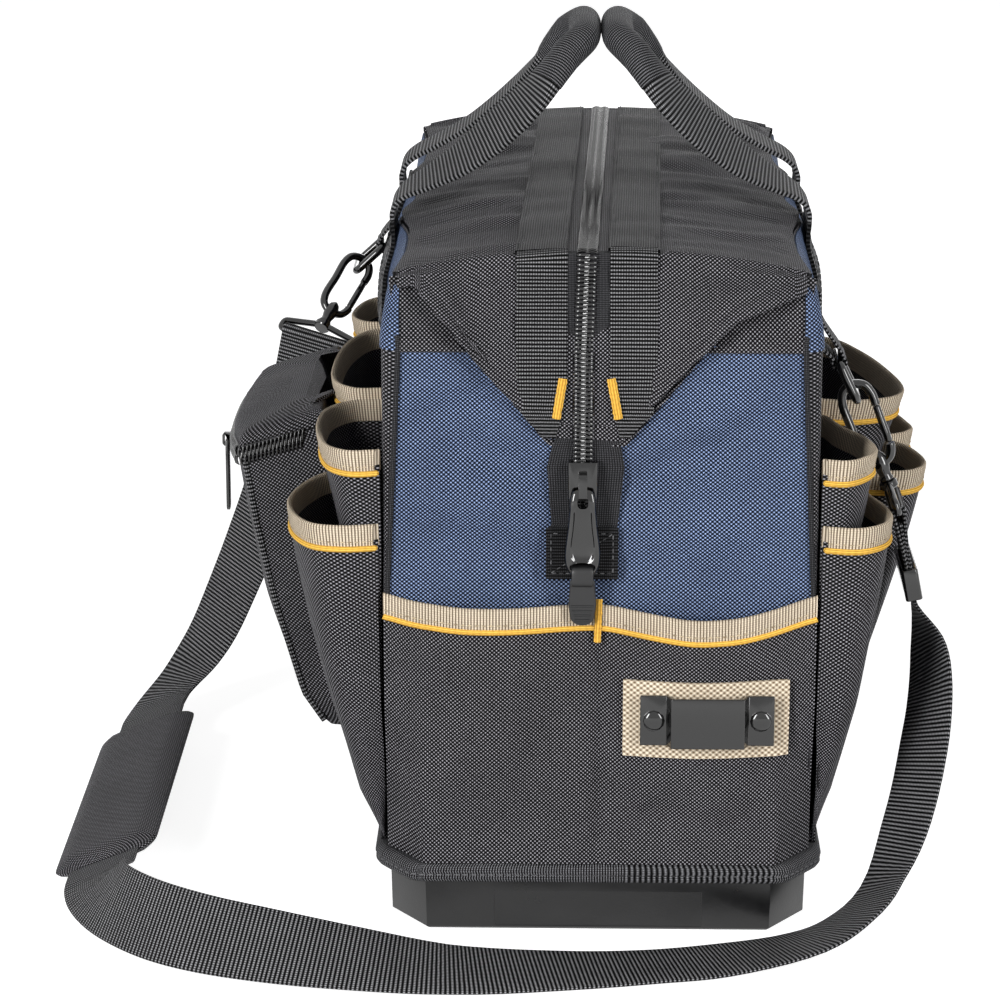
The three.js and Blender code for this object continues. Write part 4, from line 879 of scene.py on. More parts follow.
def coil(name, line, outs, sides, hand, body):
    """One row of the coil zip: each turn of the coil reaches over the middle of the chain."""
    run = [0.0]
    for a, b in zip(line, line[1:]):
        run.append(run[-1] + (b - a).length)
    pitch = 2.1
    count = int(run[-1] / pitch)
    verts = []
    faces = []
    corners = []
    profile = [(-1.1, 0.1), (0.9, 1.0), (2.6, 1.25), (4.3, 0.75), (5.1, -0.1)]
    k = 0
    for i in range(count):
        s = min(run[-1] - 0.01, (i + (0.25 if hand > 0 else 0.75)) * pitch)
        while run[k + 1] < s:
            k += 1
        t = (s - run[k]) / (run[k + 1] - run[k])
        spot = line[k].lerp(line[k + 1], t)
        out = outs[k].lerp(outs[k + 1], t).normalized()
        side = sides[k].lerp(sides[k + 1], t).normalized() * hand
        along = (line[k + 1] - line[k]).normalized()
        first = len(verts)
        for j, (a, b) in enumerate(profile):
            thick = 0.62 if j else 0.78
            centre = spot + side * a + out * b
            for c, d in ellipse(6, thick, thick, math.pi / 6):
                verts.append(centre + along * c + out * d)
        for j in range(len(profile) - 1):
            for m in range(6):
                n = (m + 1) % 6
                a = first + j * 6
                faces.append([a + m, a + n, a + 6 + n, a + 6 + m])
                corners.append([(s, j), (s, j), (s, j + 1), (s, j + 1)])
        for start, order in ((0, range(6)), ((len(profile) - 1) * 6, reversed(range(6)))):
            faces.append([first + start + m for m in order])
            corners.append([(s, 0)] * 6)
    obj = add_piece(name, verts, faces, corners, COIL, body)
    face_outwards(obj)
    round_off(obj, 60)
    return obj


def make_top_zip():
    ys = spread(-FLAP_END, FLAP_END, 60)
    for word, side in (("left", -1), ("right", 1)):
        body = f"top_{word}"
        line = [vec(zip_x(y), y, CROWN_HEIGHT + 0.1) for y in ys]
        ups = [vec(0, 0, 1)] * len(line)
        across = [vec(1, 0, 0)] * len(line)
        teeth = coil(f"{word}_top_coil", line, ups, across, side, body)
        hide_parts(f"zip_half_{word}")

        def beside(distance):
            return lambda y: zip_x(y) + side * distance

        grid = top_strip(beside(TOP_WEBBING_INSET + 3), beside(1.2), -0.9, 5, ys)
        tape = cloth(f"{word}_top_tape", grid, FINE, body, 0.7, flip=side < 0)


# The zip, its tape and its webbing down the near end
CHAIN_BACK = GAP + WEBBING_THICK + GAP
CHAIN_FRONT = CHAIN_BACK + ZIP_THICK
SLIDER_X = ZIP_NEAR_X - 1.5


def chain_x(z):
    return mix(SLIDER_X, ZIP_NEAR_X, unit(z, END_TOP, CROWN_HEIGHT))


def end_normal(z):
    slope = end_reach(z + 0.5) - end_reach(z - 0.5)
    return vec(0, -1, -slope).normalized()


def over_crown(x, proud, lift):
    """Four points that carry a strip from the end's face over its top edge to the flap."""
    end = TOP_LENGTH / 2
    face = end_reach(crown(x)) + proud
    high = crown(x)
    return [vec(x, -face + 0.1, high - 1.6), vec(x, -face + 0.8, high + lift * 0.3),
            vec(x, -end + 0.6, high + lift * 0.85), vec(x, -end + 3.4, high + lift)]


def make_end_zip():
    levels = spread(TAPE_PATCH_TOP - 2, CROWN_HEIGHT - 4, 60)
    line = []
    outs = []
    for z in levels:
        line.append(on_end(-1, chain_x(z), z, CHAIN_BACK + 1.1))
        outs.append(end_normal(z))
    line += over_crown(ZIP_NEAR_X, CHAIN_BACK + 1.1, 0.4)
    outs += [vec(0, -0.94, 0.34), vec(0, -0.7, 0.7), vec(0, -0.3, 0.95), vec(0, 0, 1)]
    across = [vec(1, 0, 0)] * len(line)
    for hand, side in (("left", -1), ("right", 1)):
        teeth = coil(f"{hand}_end_coil", line, outs, across, side, "bag")
        if side < 0:
            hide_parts("near_zip_chain")


def strip_edges(z):
    """Outer and inner edges of each webbing strip, and of the zip tape between them."""
    spreading = 1 - unit(z, 246, 276)
    return (ZIP_NEAR_X - 33.4 + 1.5 * spreading, -16.2 - 5.5 * spreading ** 1.5,
            3.8 + 5.2 * spreading ** 1.5, 26.1 - 3.0 * spreading)


def make_end_webbing():
    for hand, side in (("left", -1), ("right", 1)):
        levels = spread(247, CROWN_HEIGHT - 5, 46)
        grid = []
        for z in levels:
            left_out, left_in, right_in, right_out = strip_edges(z)
            a, b = (left_out, left_in) if side < 0 else (right_in, right_out)
            if side < 0:
                a = max(a, NOTCH_LEFT - (z - 246) * 0.91)
                b = max(b, a + 1.5)
            else:
                b = min(b, NOTCH_RIGHT + (z - 246) * 0.91)
                a = min(a, b - 1.5)
            grid.append([on_end(-1, mix(a, b, t), z, 1.4 + WEBBING_THICK) for t in spread(0, 1, 8)])
        over = [over_crown(p.x, 1.4 + WEBBING_THICK, GAP + WEBBING_THICK + 0.1) for p in grid[-1]]
        grid += [list(row) for row in zip(*over)]
        grid = wavy(grid, 1.2, 14, None, (0.4, 1, 1), 2.0 * side)
        band = cloth(f"{hand}_end_webbing", grid, RIBBED, "bag", WEBBING_THICK)


def tape_edges(z):
    if z < TAPE_PATCH_TOP:
        return -25, 7.5
    t = unit(z, 232, 262)
    low = (-23 + 0.5 * math.sin(z / 9), 8.2)
    wide = (-26.5, 12)
    u = unit(z, 205, 240)
    left = mix(low[0], wide[0], u)
    right = mix(low[1], wide[1], u)
    return mix(left, -16.5, t), mix(right, 4.1, t)


def make_end_tape():
    levels = spread(179, CROWN_HEIGHT - 4, 70)
    grid = []
    for z in levels:
        left, right = tape_edges(z)
        proud = 1.3 + 1.1 * unit(z, 292, 304)
        grid.append([on_end(-1, mix(left, right, t), z, proud + 0.3 * math.sin(4 * t))
                     for t in spread(0, 1, 12)])
    over = [over_crown(p.x, 2.4, 0.3) for p in grid[-1]]
    grid += [list(row) for row in zip(*over)]
    tape = cloth("end_zip_tape", grid, FINE, "bag", 0.9)
    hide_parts("near_zip_tail")


def make_tape_patch():
    """Folded webbing sewn over the foot of the tape."""
    grid = []
    for z in spread(178, 203, 12):
        grid.append([on_end(-1, mix(-26, 8.5, t), z, 3.2) for t in spread(0, 1, 16)])
    grid = wavy(grid, 0.8, 9, seed=4.0)
    patch = cloth("tape_foot_patch", grid, DARK_TAPE, "bag", 1.8)
    corners = [(-23.5, 181), (6, 181), (6, 200.5), (-23.5, 200.5), (-23.5, 181), (6, 200.5)]
    line = []
    for (xa, za), (xb, zb) in zip(corners, corners[1:]):
        line.extend([on_end(-1, mix(xa, xb, t), mix(za, zb, t), 3.6) for t in spread(0, 1, 8)])
    sewn = stitches("tape_patch_stitches", line, [vec(0, -1, 0)] * len(line), 3.2, 2.4, 0.6,
                    DARK_THREAD, "bag")


def bar_tack(name, foot, head, wide, lift, normal, body, rows=34):
    """Dense satin stitching: a raised bar with a ridge for each thread."""
    along = (head - foot).normalized()
    side = along.cross(normal).normalized()
    grid = []
    for k in range(rows * 2 + 1):
        spot = foot.lerp(head, k / (rows * 2))
        ridge = 0.22 if k % 2 else 0
        row = []
        for a in (-1, -0.8, -0.4, 0, 0.4, 0.8, 1):
            high = lift * (1 - abs(a) ** 3) + ridge
            jitter = 0.25 * noise.noise(spot * 0.9 + vec(a, 0, 0))
            row.append(spot + side * (a * wide / 2 * (1 + jitter)) + normal * high)
        grid.append(row)
    bar = cloth(name, grid, PIPING, body, 0.5, flip=True)


def make_bar_tacks():
    for hand, x0, x1 in (("left", -21.2, -18.2), ("right", 8.0, 4.6)):
        foot = on_end(-1, x0, 256.5, 3.2)
        head = on_end(-1, x1, 275.5, 3.2)
        bar_tack(f"{hand}_zip_bar_tack", foot, head, 3.4, 1.0, end_normal(266), "bag")
    foot = on_end(-1, -1.2, 147.5, 4.2)
    head = on_end(-1, -0.4, 168.5, 4.2)
    bar_tack("pocket_bar_tack", foot, head, 2.6, 0.8, vec(0, -1, 0), "bag", 40)


# The slider, its pull and the rubber tab on it. In the pull's own frame a runs across, c up, and b
# stands off the bag
SLIDER_FOOT = 218
SLIDER_PLATE = 2.6
BRIDGE_HEIGHT = 6.9
PULL_LENGTH = 44
PULL_HALF = 8.5
TAB_LENGTH = 25
TAB_HALF = 6.6
PULL_PIVOT_Z = SLIDER_FOOT + 4.6
PULL_PLANE = end_reach(PULL_PIVOT_Z) + CHAIN_FRONT + GAP + SLIDER_PLATE + (BRIDGE_HEIGHT - 1) / 2
PULL_TOP = 1.2
PULL_BAR = PULL_TOP - PULL_LENGTH + 2


def on_pull(a, b, c):
    return vec(SLIDER_X + a, -(PULL_PLANE + b), PULL_PIVOT_Z + c)


def mirrored(half):
    """A closed smooth outline from the points of its right half, which starts and ends in the
    middle."""
    left = [(-a, c) for a, c in reversed(half[1:-1])]
    return smooth_line([vec(a, 0, c) for a, c in half + left], 5, closed=True)


def plate(name, outline, rings, material, body):
    """A cast or moulded plate: its outline is drawn in towards the middle ring by ring, each ring
    at its own height."""
    middle = sum(outline, Vector()) / len(outline)
    rows = []
    for share, height in rings:
        drawn = [middle.lerp(p, share) for p in outline]
        rows.append([on_pull(p.x, height, p.z) for p in drawn])
    return tube(name, rows, material, body, angle=35)


def bore(obj, half_wide, low, high):
    """An oval hole through a plate."""
    middle = (low + high) / 2
    rows = []
    for b in (-6, 6):
        rows.append([on_pull(half_wide * math.copysign(abs(c) ** 0.7, c), b,
                             middle + (high - low) / 2 * math.copysign(abs(s) ** 0.7, s))
                     for c, s in ellipse(28, 1, 1)])
    cutter = tube(f"{obj.name}_cutter", rows, PAINTED, "bag")
    modify(obj, "BOOLEAN", operation="DIFFERENCE", object=cutter, solver="EXACT")
    bpy.data.objects.remove(cutter, do_unlink=True)
    round_off(obj, 35)


def make_slider():
    softened("zip_slider", "main_slider", 0.9, PAINTED, "zip_slider", segments=4)
    foot = PULL_TOP - PULL_LENGTH
    half = [(0, PULL_TOP), (4.4, PULL_TOP - 0.6), (6, PULL_TOP - 3.6), (6.4, PULL_TOP - 10),
            (7.2, PULL_TOP - 19), (8.3, PULL_TOP - 28), (PULL_HALF, foot + 11), (7.6, foot + 5.4),
            (4.6, foot + 1.4), (0, foot)]
    rings = [(0.9, -1.2), (0.98, -0.8), (1, -0.1), (0.985, 0.6), (0.94, 1.3), (0.88, 1.8),
             (0.8, 2.15), (0.73, 2.2), (0.67, 1.9), (0.62, 1.3), (0.55, 0.95), (0.3, 0.8)]
    pull = plate("zip_pull", mirrored(half), rings, PAINTED, "zip_pull")
    bore(pull, 2.6, PULL_TOP - 9.2, PULL_TOP - 2.6)
    bore(pull, 6.2, foot + 4, foot + 8.4)
    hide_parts("main_pull")


def make_tab():
    """The rubber tab: a strap through the pull's window, with ridges for the fingers at its end."""
    foot = PULL_BAR - TAB_LENGTH
    half = [(0, PULL_BAR - 2), (5.4, PULL_BAR - 2.2), (TAB_HALF - 0.6, PULL_BAR - 6),
            (TAB_HALF, PULL_BAR - 14), (TAB_HALF - 0.4, foot + 7), (4.8, foot + 2), (0, foot)]
    rings = [(0.9, -1.5), (0.98, -1.1), (1, 0), (0.98, 1.1), (0.92, 1.5), (0.6, 1.5)]
    tab = plate("zip_pull_tab", mirrored(half), rings, RUBBER, "zip_tab")
    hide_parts("pull_tab")
    corners = [on_pull(0, 3.9, PULL_BAR + 4), on_pull(0, 3.9, PULL_BAR - 4.6),
               on_pull(0, -3.2, PULL_BAR - 4.6), on_pull(0, -3.2, PULL_BAR + 4)]
    path = rounded(corners, 2.6)
    rows = sections_along(path, lambda i: vec(1, 0, 0), flat_section(10.5, 1.5), closed=True)
    loop = tube("zip_tab_loop", rows, RUBBER, "zip_tab", closed=True, angle=50)
    for k in range(4):
        c = foot + 3 + 2.3 * k
        reach = 3.6 + 0.6 * k
        line = [on_pull(a, 1.4, c) for a in spread(-reach, reach, 6)]
        ridge = wire(f"zip_tab_ridge_{k}", line, vec(0, -1, 0), 0.55, RUBBER, "zip_tab")


# End pockets
def mouth_line(x):
    u = min(1, max(-1, x / (SHOULDER_WIDTH / 2)))
    smooth = 0
    for shift in (-0.05, 0, 0.05):
        spot = min(1, max(-1, u + shift))
        for (low, drop), (high, next_drop) in zip(MOUTH_DROPS, MOUTH_DROPS[1:]):
            if spot <= high:
                smooth += mix(drop, next_drop, unit(spot, low, high)) / 3
                break
    return POCKET_MOUTH - smooth


def belly(x, z):
    u = min(1, abs(x) / (half_width(z) - CORNER_X / 2))
    wave = max(0, math.sin(math.pi * u)) ** 1.6
    return POCKET_BELLY * wave * math.sqrt(unit(z, BASE_HEIGHT, POCKET_MOUTH - 40))


def foot_swell(z):
    """The pocket comes out at its foot to be sewn in behind the rim's binding."""
    return (BASE_PROUD + RIM_REACH - 3) * (1 - unit(z, BASE_HEIGHT, BASE_HEIGHT + 46)) ** 1.5


def pocket_columns(side, z_of, proud, columns):
    row = []
    for x in columns:
        z = z_of(x)
        inside = math.copysign(min(abs(x), half_width(z)), x)
        row.append(on_end(side, inside, z, GAP + max(belly(x, z), foot_swell(z)) + proud))
    return row


POCKET_FOLDS = [(-60, 120, 12, 40, 8, 1.6), (-30, 90, 9, 34, -10, -1.3), (-80, 80, 12, 30, 20, 1.4),
                (26, 60, 20, 8, 30, -1.6), (60, 66, 30, 9, -12, 1.3), (84, 90, 9, 30, -14, -1.3),
                (40, 145, 20, 8, 0, 0.8), (-12, 66, 8, 24, 6, 1.2)]


def make_end_pocket(word, side):
    half = SHOULDER_WIDTH / 2
    columns = spread(-half, half, 96)
    steps = 44
    grid = []
    for k in range(steps + 1):
        def height(x):
            return mix(BASE_HEIGHT + GAP, mouth_line(x) - BINDING_HEIGHT + 3, k / steps)
        row = pocket_columns(side, height, THIN_WALL, columns)
        for i, x in enumerate(columns):
            hold = unit(half - abs(x), 0, 12) * unit(k, 0, 4) * unit(steps - k, 0, 3)
            hold *= unit(abs(x), 0, 5)
            row[i].y += side * 1.7 * fold_depth(x, row[i].z, POCKET_FOLDS) * hold
            row[i].y -= side * 1.6 * math.exp(-((x / 2.2) ** 2)) * unit(steps - k, 0, 3)
        grid.append(row)

    def loose(p):
        return (unit(half - abs(p.x), 0, 12) * unit(abs(p.x), 0, 6)
                * unit(mouth_line(p.x) - p.z, BINDING_HEIGHT, BINDING_HEIGHT + 22))

    grid = wavy(grid, 2.0, 34, loose, seed=11.0 + side)
    wall = cloth(f"{word}_pocket_wall", grid, BLACK, "bag", THIN_WALL, flip=side > 0)
    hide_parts(f"{word}_end_pocket")
    profile = [(0.2, -BINDING_HEIGHT), (2.6, -BINDING_HEIGHT), (3.0, -BINDING_HEIGHT + 0.8),
               (3.0, -6), (3.0, -3), (2.8, -1), (1.9, 0.0), (1.0, 0.0), (0.1, -1), (0, -3)]
    rows = []
    for proud, drop in profile:
        rows.append(pocket_columns(side, lambda x: mouth_line(x) + drop, proud, columns))
    rows = [list(column) for column in zip(*rows)]
    trim = tube(f"{word}_pocket_tape", rows, GROSGRAIN, "bag", angle=50)
    turn_grain(trim)
    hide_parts(f"{word}_end_pocket_binding")
    line = pocket_columns(side, lambda x: mouth_line(x) - BINDING_HEIGHT - 0.9, 2.4, columns)
    cord = cord_line(f"{word}_pocket_piping", line, 1.5, PIPING, "bag")
    line = pocket_columns(side, lambda x: mouth_line(x) - BINDING_HEIGHT + 2.6, 3.1, columns)
    sewn = stitches(f"{word}_pocket_stitches", line, [vec(0, side, 0)] * len(line), 3.4, 2.3,
                    0.55, THREAD, "bag")


# The tape clip on its patch
CLIP_PATCH = {"left": 11.3, "right": SHOULDER_WIDTH / 2 - 13.4, "foot": 91, "top": 129}


def make_tape_clip():
    grid = []
    for z in spread(CLIP_PATCH["foot"], CLIP_PATCH["top"], 16):
        row = []
        for x in spread(CLIP_PATCH["left"], CLIP_PATCH["right"], 34):
            row.append(on_end(-1, x, z, GAP + THIN_WALL + belly(x, z) + GAP + 1.7))
        grid.append(row)
    patch = cloth("clip_patch", grid, TAN_WEBBING, "bag", 1.7)
    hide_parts("tape_clip_patch")
    softened("spring_clip", "tape_clip", 0.45, PAINTED, "bag")


# Side pockets, each a row of bays: side, the height where it starts to stand out, mouth, seat on
# the cloth, foot, and the mouth's line as (distance from the middle, y)
SIDE_POCKETS = {
    "left_upper": (-1, UPPER_TAPER, UPPER_MOUTH, 0, 118, [
        (SEAM, -219), (118, -221), (128, -213), (134, -196), (137, -160), (134, -138), (123, -123),
        (SEAM, -118), (SEAM, -99), (122, -98), (133, -84), (136.5, -42), (132, 6), (121, 33),
        (SEAM, 40), (SEAM, 50), (125, 52), (133, 66), (132, 90), (124, 112), (SEAM, 126)]),
    "left_near": (-1, LOWER_TAPER, LOWER_MOUTH, SEWN + GAP, 38, [
        (SEAM, -224), (122, -227), (136, -223), (146, -207), (151, -180), (148, -156), (138, -130),
        (122, -114), (SEAM, -109)]),
    "left_far": (-1, LOWER_TAPER, LOWER_MOUTH - 6, SEWN + GAP, 38, [
        (SEAM, 44), (130, 46), (140, 62), (140, 98), (129, 122), (SEAM, 133)]),
    "right_upper": (1, UPPER_TAPER, UPPER_MOUTH - 4, 0, 118, [
        (SEAM, -218), (116, -220), (126, -210.5), (131, -197), (127, -174), (117, -153),
        (111, -134), (SEAM, -124), (SEAM, -100), (124, -103), (141, -98), (150, -90), (154, -75),
        (149, -36), (138, 6), (124, 36), (SEAM, 46)]),
    "right_near": (1, LOWER_TAPER, LOWER_MOUTH, SEWN + GAP, 38, [
        (SEAM, -224), (122, -227), (134, -218), (139, -202), (137, -184), (132, -167), (126, -142),
        (118, -127), (SEAM, -114)]),
    "right_lower": (1, LOWER_TAPER, LOWER_MOUTH, SEWN + GAP, 38, [
        (SEAM, -104), (120, -113), (136, -119), (152, -119), (161, -111), (164, -99), (162, -84),
        (156, -66), (147, -54), (150, -48), (158, -42), (163, -32), (161, -18), (156, 2),
        (147, 26), (130, 46), (SEAM, 56)]),
    "right_far": (1, LOWER_TAPER, 190, 0, 38, [
        (SEAM, 64), (111, 68), (117, 84), (119, 130), (117, 176), (111, 192), (SEAM, 196)]),
}


def pocket_point(pocket, path, k, z, proud, least):
    """A point of a side pocket at height z under point k of its mouth: it draws in to its foot, and
    the bays at the ends are kept clear of the end pockets."""
    side, taper, mouth, seat = pocket
    out, y = path[k].x, path[k].y
    along = (path[min(len(path) - 1, k + 1)] - path[max(0, k - 1)]).normalized()
    face = half_width(z) + GAP
    share = unit(z, taper, mouth)
    full = mix(0.08, 1, share)
    if taper == LOWER_TAPER:
        full = (full + 0.38 * share * (1 - share)) * math.sqrt(unit(z, 33, 64))
    depth = (out - SEAM) * full
    limit = end_reach(z) - corner_cut(half_width(z), z) + 5
    back = abs(path[-1].y)
    front = max(-p.y for p in path)
    squeeze = (limit - back) / (front - back) if front > limit else 1
    reach = -(back + (-y - back) * squeeze) if y < -back else y
    x = face + max(seat + least, depth + along.y * proud)
    return vec(side * x, reach - along.x * proud, z)


def make_side_pocket(word):
    side, taper, mouth, seat, foot, plan = SIDE_POCKETS[word]
    pocket = (side, taper, mouth, seat)
    line = smooth_line([vec(x, y, 0) for x, y in plan], 6)
    path = [Vector((max(SEAM, p.x), p.y)) for p in line]
    count = len(path)
    top = mouth - BINDING_HEIGHT + 3
    grid = [[pocket_point(pocket, path, k, z, 0, SEWN) for k in range(count)]
            for z in spread(foot, top, 30)]

    def loose(p):
        return unit(p.z, foot, foot + 25) * unit(top - p.z, 0, 18)

    grid = wavy(grid, 2.2, 34, loose, (1, 1, 0.45), 1.3 * len(word) + side)
    wall = cloth(f"{word}_pocket_wall", grid, BLACK, "bag", THIN_WALL, flip=side < 0)
    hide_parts(f"{word}_pocket")
    profile = [(-2.4, -BINDING_HEIGHT), (0.2, -BINDING_HEIGHT), (0.6, -BINDING_HEIGHT + 0.8),
               (0.6, -6), (0.6, -3), (0.4, -1), (-0.4, 0), (-1.4, 0), (-2.2, -1), (-2.4, -3)]
    rows = []
    for k in range(count):
        rows.append([pocket_point(pocket, path, k, mouth + drop, proud, proud + 2.4)
                     for proud, drop in profile])
    trim = tube(f"{word}_pocket_tape", rows, GROSGRAIN, "bag", angle=50)
    turn_grain(trim)
    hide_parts(f"{word}_binding")
    low = mouth - BINDING_HEIGHT
    line = [pocket_point(pocket, path, k, low - 0.9, 0.3, 2.4) for k in range(count)]
    cord = cord_line(f"{word}_pocket_piping", line, 1.5, PIPING, "bag")
    line = [pocket_point(pocket, path, k, low + 2.6, 0.7, 3.1) for k in range(count)]
    outs = []
    for k in range(count):
        along = (path[min(count - 1, k + 1)] - path[max(0, k - 1)]).normalized()
        outs.append(vec(side * along.y, -along.x, 0))
    sewn = stitches(f"{word}_pocket_stitches", line, outs, 3.4, 2.3, 0.55, THREAD, "bag")


# Side pouch with its zipped lid
POUCH_NEAR = -105
POUCH_FAR = 36
POUCH_FOOT = 62
POUCH_RIM = 208
POUCH_RIM_RISE = 0.3
POUCH_FACE = 187
POUCH_SEAT = 136.5
POUCH_HINGE = 139.2
# The pouch's outer face: (height, distance from the middle)
POUCH_PROFILE = [(POUCH_FOOT, 142), (80, 154), (128, 168), (170, 177), (POUCH_RIM, POUCH_FACE - 4)]


def pouch_back(z):
    depth = mix(0.08, 1, unit(z, UPPER_TAPER, UPPER_MOUTH))
    return half_width(z) + 2 * GAP + (POUCH_SEAT - SEAM) * depth


def pouch_rim(x):
    return POUCH_RIM + POUCH_RIM_RISE * (POUCH_FACE - x)


def pouch_reach(z):
    for (za, a), (zb, b) in zip(POUCH_PROFILE, POUCH_PROFILE[1:]):
        if z <= zb:
            return mix(a, b, unit(z, za, zb))
    return POUCH_PROFILE[-1][1]


def pouch_plan(back, reach, inset):
    """The pouch's closed outline seen from above, from its back out to its face."""
    near = POUCH_NEAR + inset
    far = POUCH_FAR - inset
    face = reach - inset
    bulge = face + 4
    plan = [(back + inset, near), (mix(back, face - 9, 0.5), near), (face - 9, near),
            (face - 1.6, near + 1.6), (face, near + 9), (bulge, near + 32), (bulge, far - 32),
            (face, far - 9), (face - 1.6, far - 1.6), (face - 9, far),
            (mix(back, face - 9, 0.5), far), (back + inset, far)]
    line = smooth_line([vec(x, y, 0) for x, y in plan], 5)
    back_run = [line[-1].lerp(line[0], t) for t in (0.25, 0.5, 0.75)]
    return line + back_run


def make_pouch():
    rows = []
    steps = 30
    for k in range(steps + 1):
        t = k / steps
        z = mix(POUCH_FOOT, POUCH_RIM, t)
        ring = []
        back = pouch_back(pouch_rim(POUCH_SEAT) if k == steps else z)
        tuck = 3 * (1 - unit(k, 0, 3)) ** 2
        for p in pouch_plan(back, pouch_reach(z), tuck):
            high = z + (pouch_rim(p.x) - POUCH_RIM) * unit(t, 0.6, 1) - 0.2
            ring.append(vec(-p.x, p.y, high))
        rows.append(ring)

    def loose(p):
        return unit(p.z, POUCH_FOOT, POUCH_FOOT + 20) * unit(POUCH_RIM - p.z, 4, 40) * unit(
            -p.x, 130, 145)

    rows = wavy(rows, 2.4, 36, loose, (1, 1, 0.5), 6.0)
    outer = [p for row in rows for p in row]
    faces, corners = grid_faces(rows, True, False, True)
    foot = list(range(len(rows[0])))
    faces.append(foot)
    corners.append([(outer[k].x, outer[k].y) for k in foot])
    pouch = add_piece("pouch_body", outer, faces, corners, BLACK, "bag")
    face_outwards(pouch)
    modify(pouch, "SOLIDIFY", thickness=2.0 * MM, offset=-1.0, use_even_offset=False)
    round_off(pouch, 50)
    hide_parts("side_pouch")
    for word, y in (("near", POUCH_NEAR), ("far", POUCH_FAR)):
        way = 1 if y < 0 else -1
        line = []
        for z in spread(POUCH_FOOT + 3, POUCH_RIM - 1, 30):
            reach = pouch_reach(z)
            line.append(vec(-(reach - 3.2), y + way * 1.2, z))
        seam = cord_line(f"pouch_{word}_seam", line, 1.7, WEBBING, "bag")


def make_lid():
    reach = POUCH_FACE - 4
    levels = [(0.4, 0), (3, 0), (5.2, 0.2), (7.4, 1.4), (8.7, 3.4), (9.3, 7), (9.9, 16), (10.4, 27)]
    rows = []
    for high, inset in levels:
        ring = []
        for p in pouch_plan(POUCH_HINGE - inset * 0.6, reach, inset):
            ring.append(vec(-p.x, p.y, pouch_rim(p.x) + high))
        rows.append(ring)
    rows = wavy(rows, 1.4, 30, None, (1, 1, 1), 2.0)
    count = len(rows[0])
    points = [p for row in rows for p in row]
    faces, corners = grid_faces(rows, True, False, True)
    last = (len(rows) - 1) * count
    faces.append([last + k for k in range(count)])
    corners.append([(points[last + k].x, points[last + k].y) for k in range(count)])
    lid = add_piece("pouch_lid_cloth", points, faces, corners, BLACK, "lid")
    face_outwards(lid)
    modify(lid, "SOLIDIFY", thickness=1.6 * MM, offset=-1.0, use_even_offset=False)
    round_off(lid, 50)
    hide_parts("pouch_lid")


def pouch_zip_line(out, drop):
    line = []
    for p in pouch_plan(POUCH_HINGE + 10, POUCH_FACE - 4 + out, 0)[:-3]:
        line.append(vec(-p.x, p.y, pouch_rim(p.x) + drop))
    return line


def make_pouch_zip():
    line = smooth_line(pouch_zip_line(0.9, -3.2), 2)
    outs = []
    for i in range(len(line)):
        along = (line[min(len(line) - 1, i + 1)] - line[max(0, i - 1)]).normalized()
        outs.append(vec(along.y, -along.x, 0).normalized() * -1)
    middle = sum(line, Vector()) / len(line)
    if (line[len(line) // 2] - middle).dot(outs[len(line) // 2]) < 0:
        outs = [-out for out in outs]
    ups = [vec(0, 0, 1)] * len(line)
    for hand, side in (("upper", 1), ("lower", -1)):
        coil(f"pouch_{hand}_coil", line, outs, ups, side, "bag")
    softened("pouch_zip_slider_body", "pouch_slider", 0.5, PAINTED, "pouch_zip_slider")
    softened("pouch_zip_pull_blade", "pouch_pull", 0.5, PAINTED, "pouch_zip_pull")


# Handles: webbing that turns into a round wrapped grip
HANDLE_SPREAD = 52
STRAP_WIDTH = 38
LEG_THICK = 2.4
GRIP_RADIUS = 8
GRIP_HEIGHT = 408.4
GRIP_X = GRIP_RADIUS + 0.4
TAB_FOOT = 242
HANDLE_ROOT = SHOULDER_WIDTH / 2 - FLAP_INSET + GAP + LEG_THICK / 2
# A handle from its root to near its middle: x, z, y as a share of the spread, roundness from flat
# webbing to grip, and twist in degrees
HANDLE_LINE = [
    (HANDLE_ROOT, SIDE_TOP + 2.4, 1, 0, 0), (HANDLE_ROOT, SIDE_TOP + 6.4, 1, 0, 0),
    (HANDLE_ROOT - 2, SIDE_TOP + 11, 1, 0, 0), (98.5, 333.5, 1, 0, 2), (88, 339, 1, 0, 7),
    (71, 349, 1, 0, 15), (56, 361, 1, 0, 21), (44, 372, 1, 0.05, 22), (34, 382, 0.98, 0.25, 20),
    (25, 392, 0.92, 0.7, 16), (17, 401, 0.78, 1, 12), (GRIP_X + 1.5, GRIP_HEIGHT - 1.6, 0.58, 1, 8),
    (GRIP_X, GRIP_HEIGHT, 0.3, 1, 4),
]


def grip_section(share, spare=0.0):
    """A handle's outline, from flat webbing at 0 to the round grip at 1."""
    shape = []
    for c, s in ellipse(28, 1, 1):
        wide = mix(STRAP_WIDTH / 2 * max(-1, min(1, 1.25 * c)), GRIP_RADIUS * c, share)
        thick = mix(LEG_THICK / 2 * max(-1, min(1, 1.6 * s)), GRIP_RADIUS * s, share)
        shape.append((wide + spare * c, thick + spare * s))
    return shape


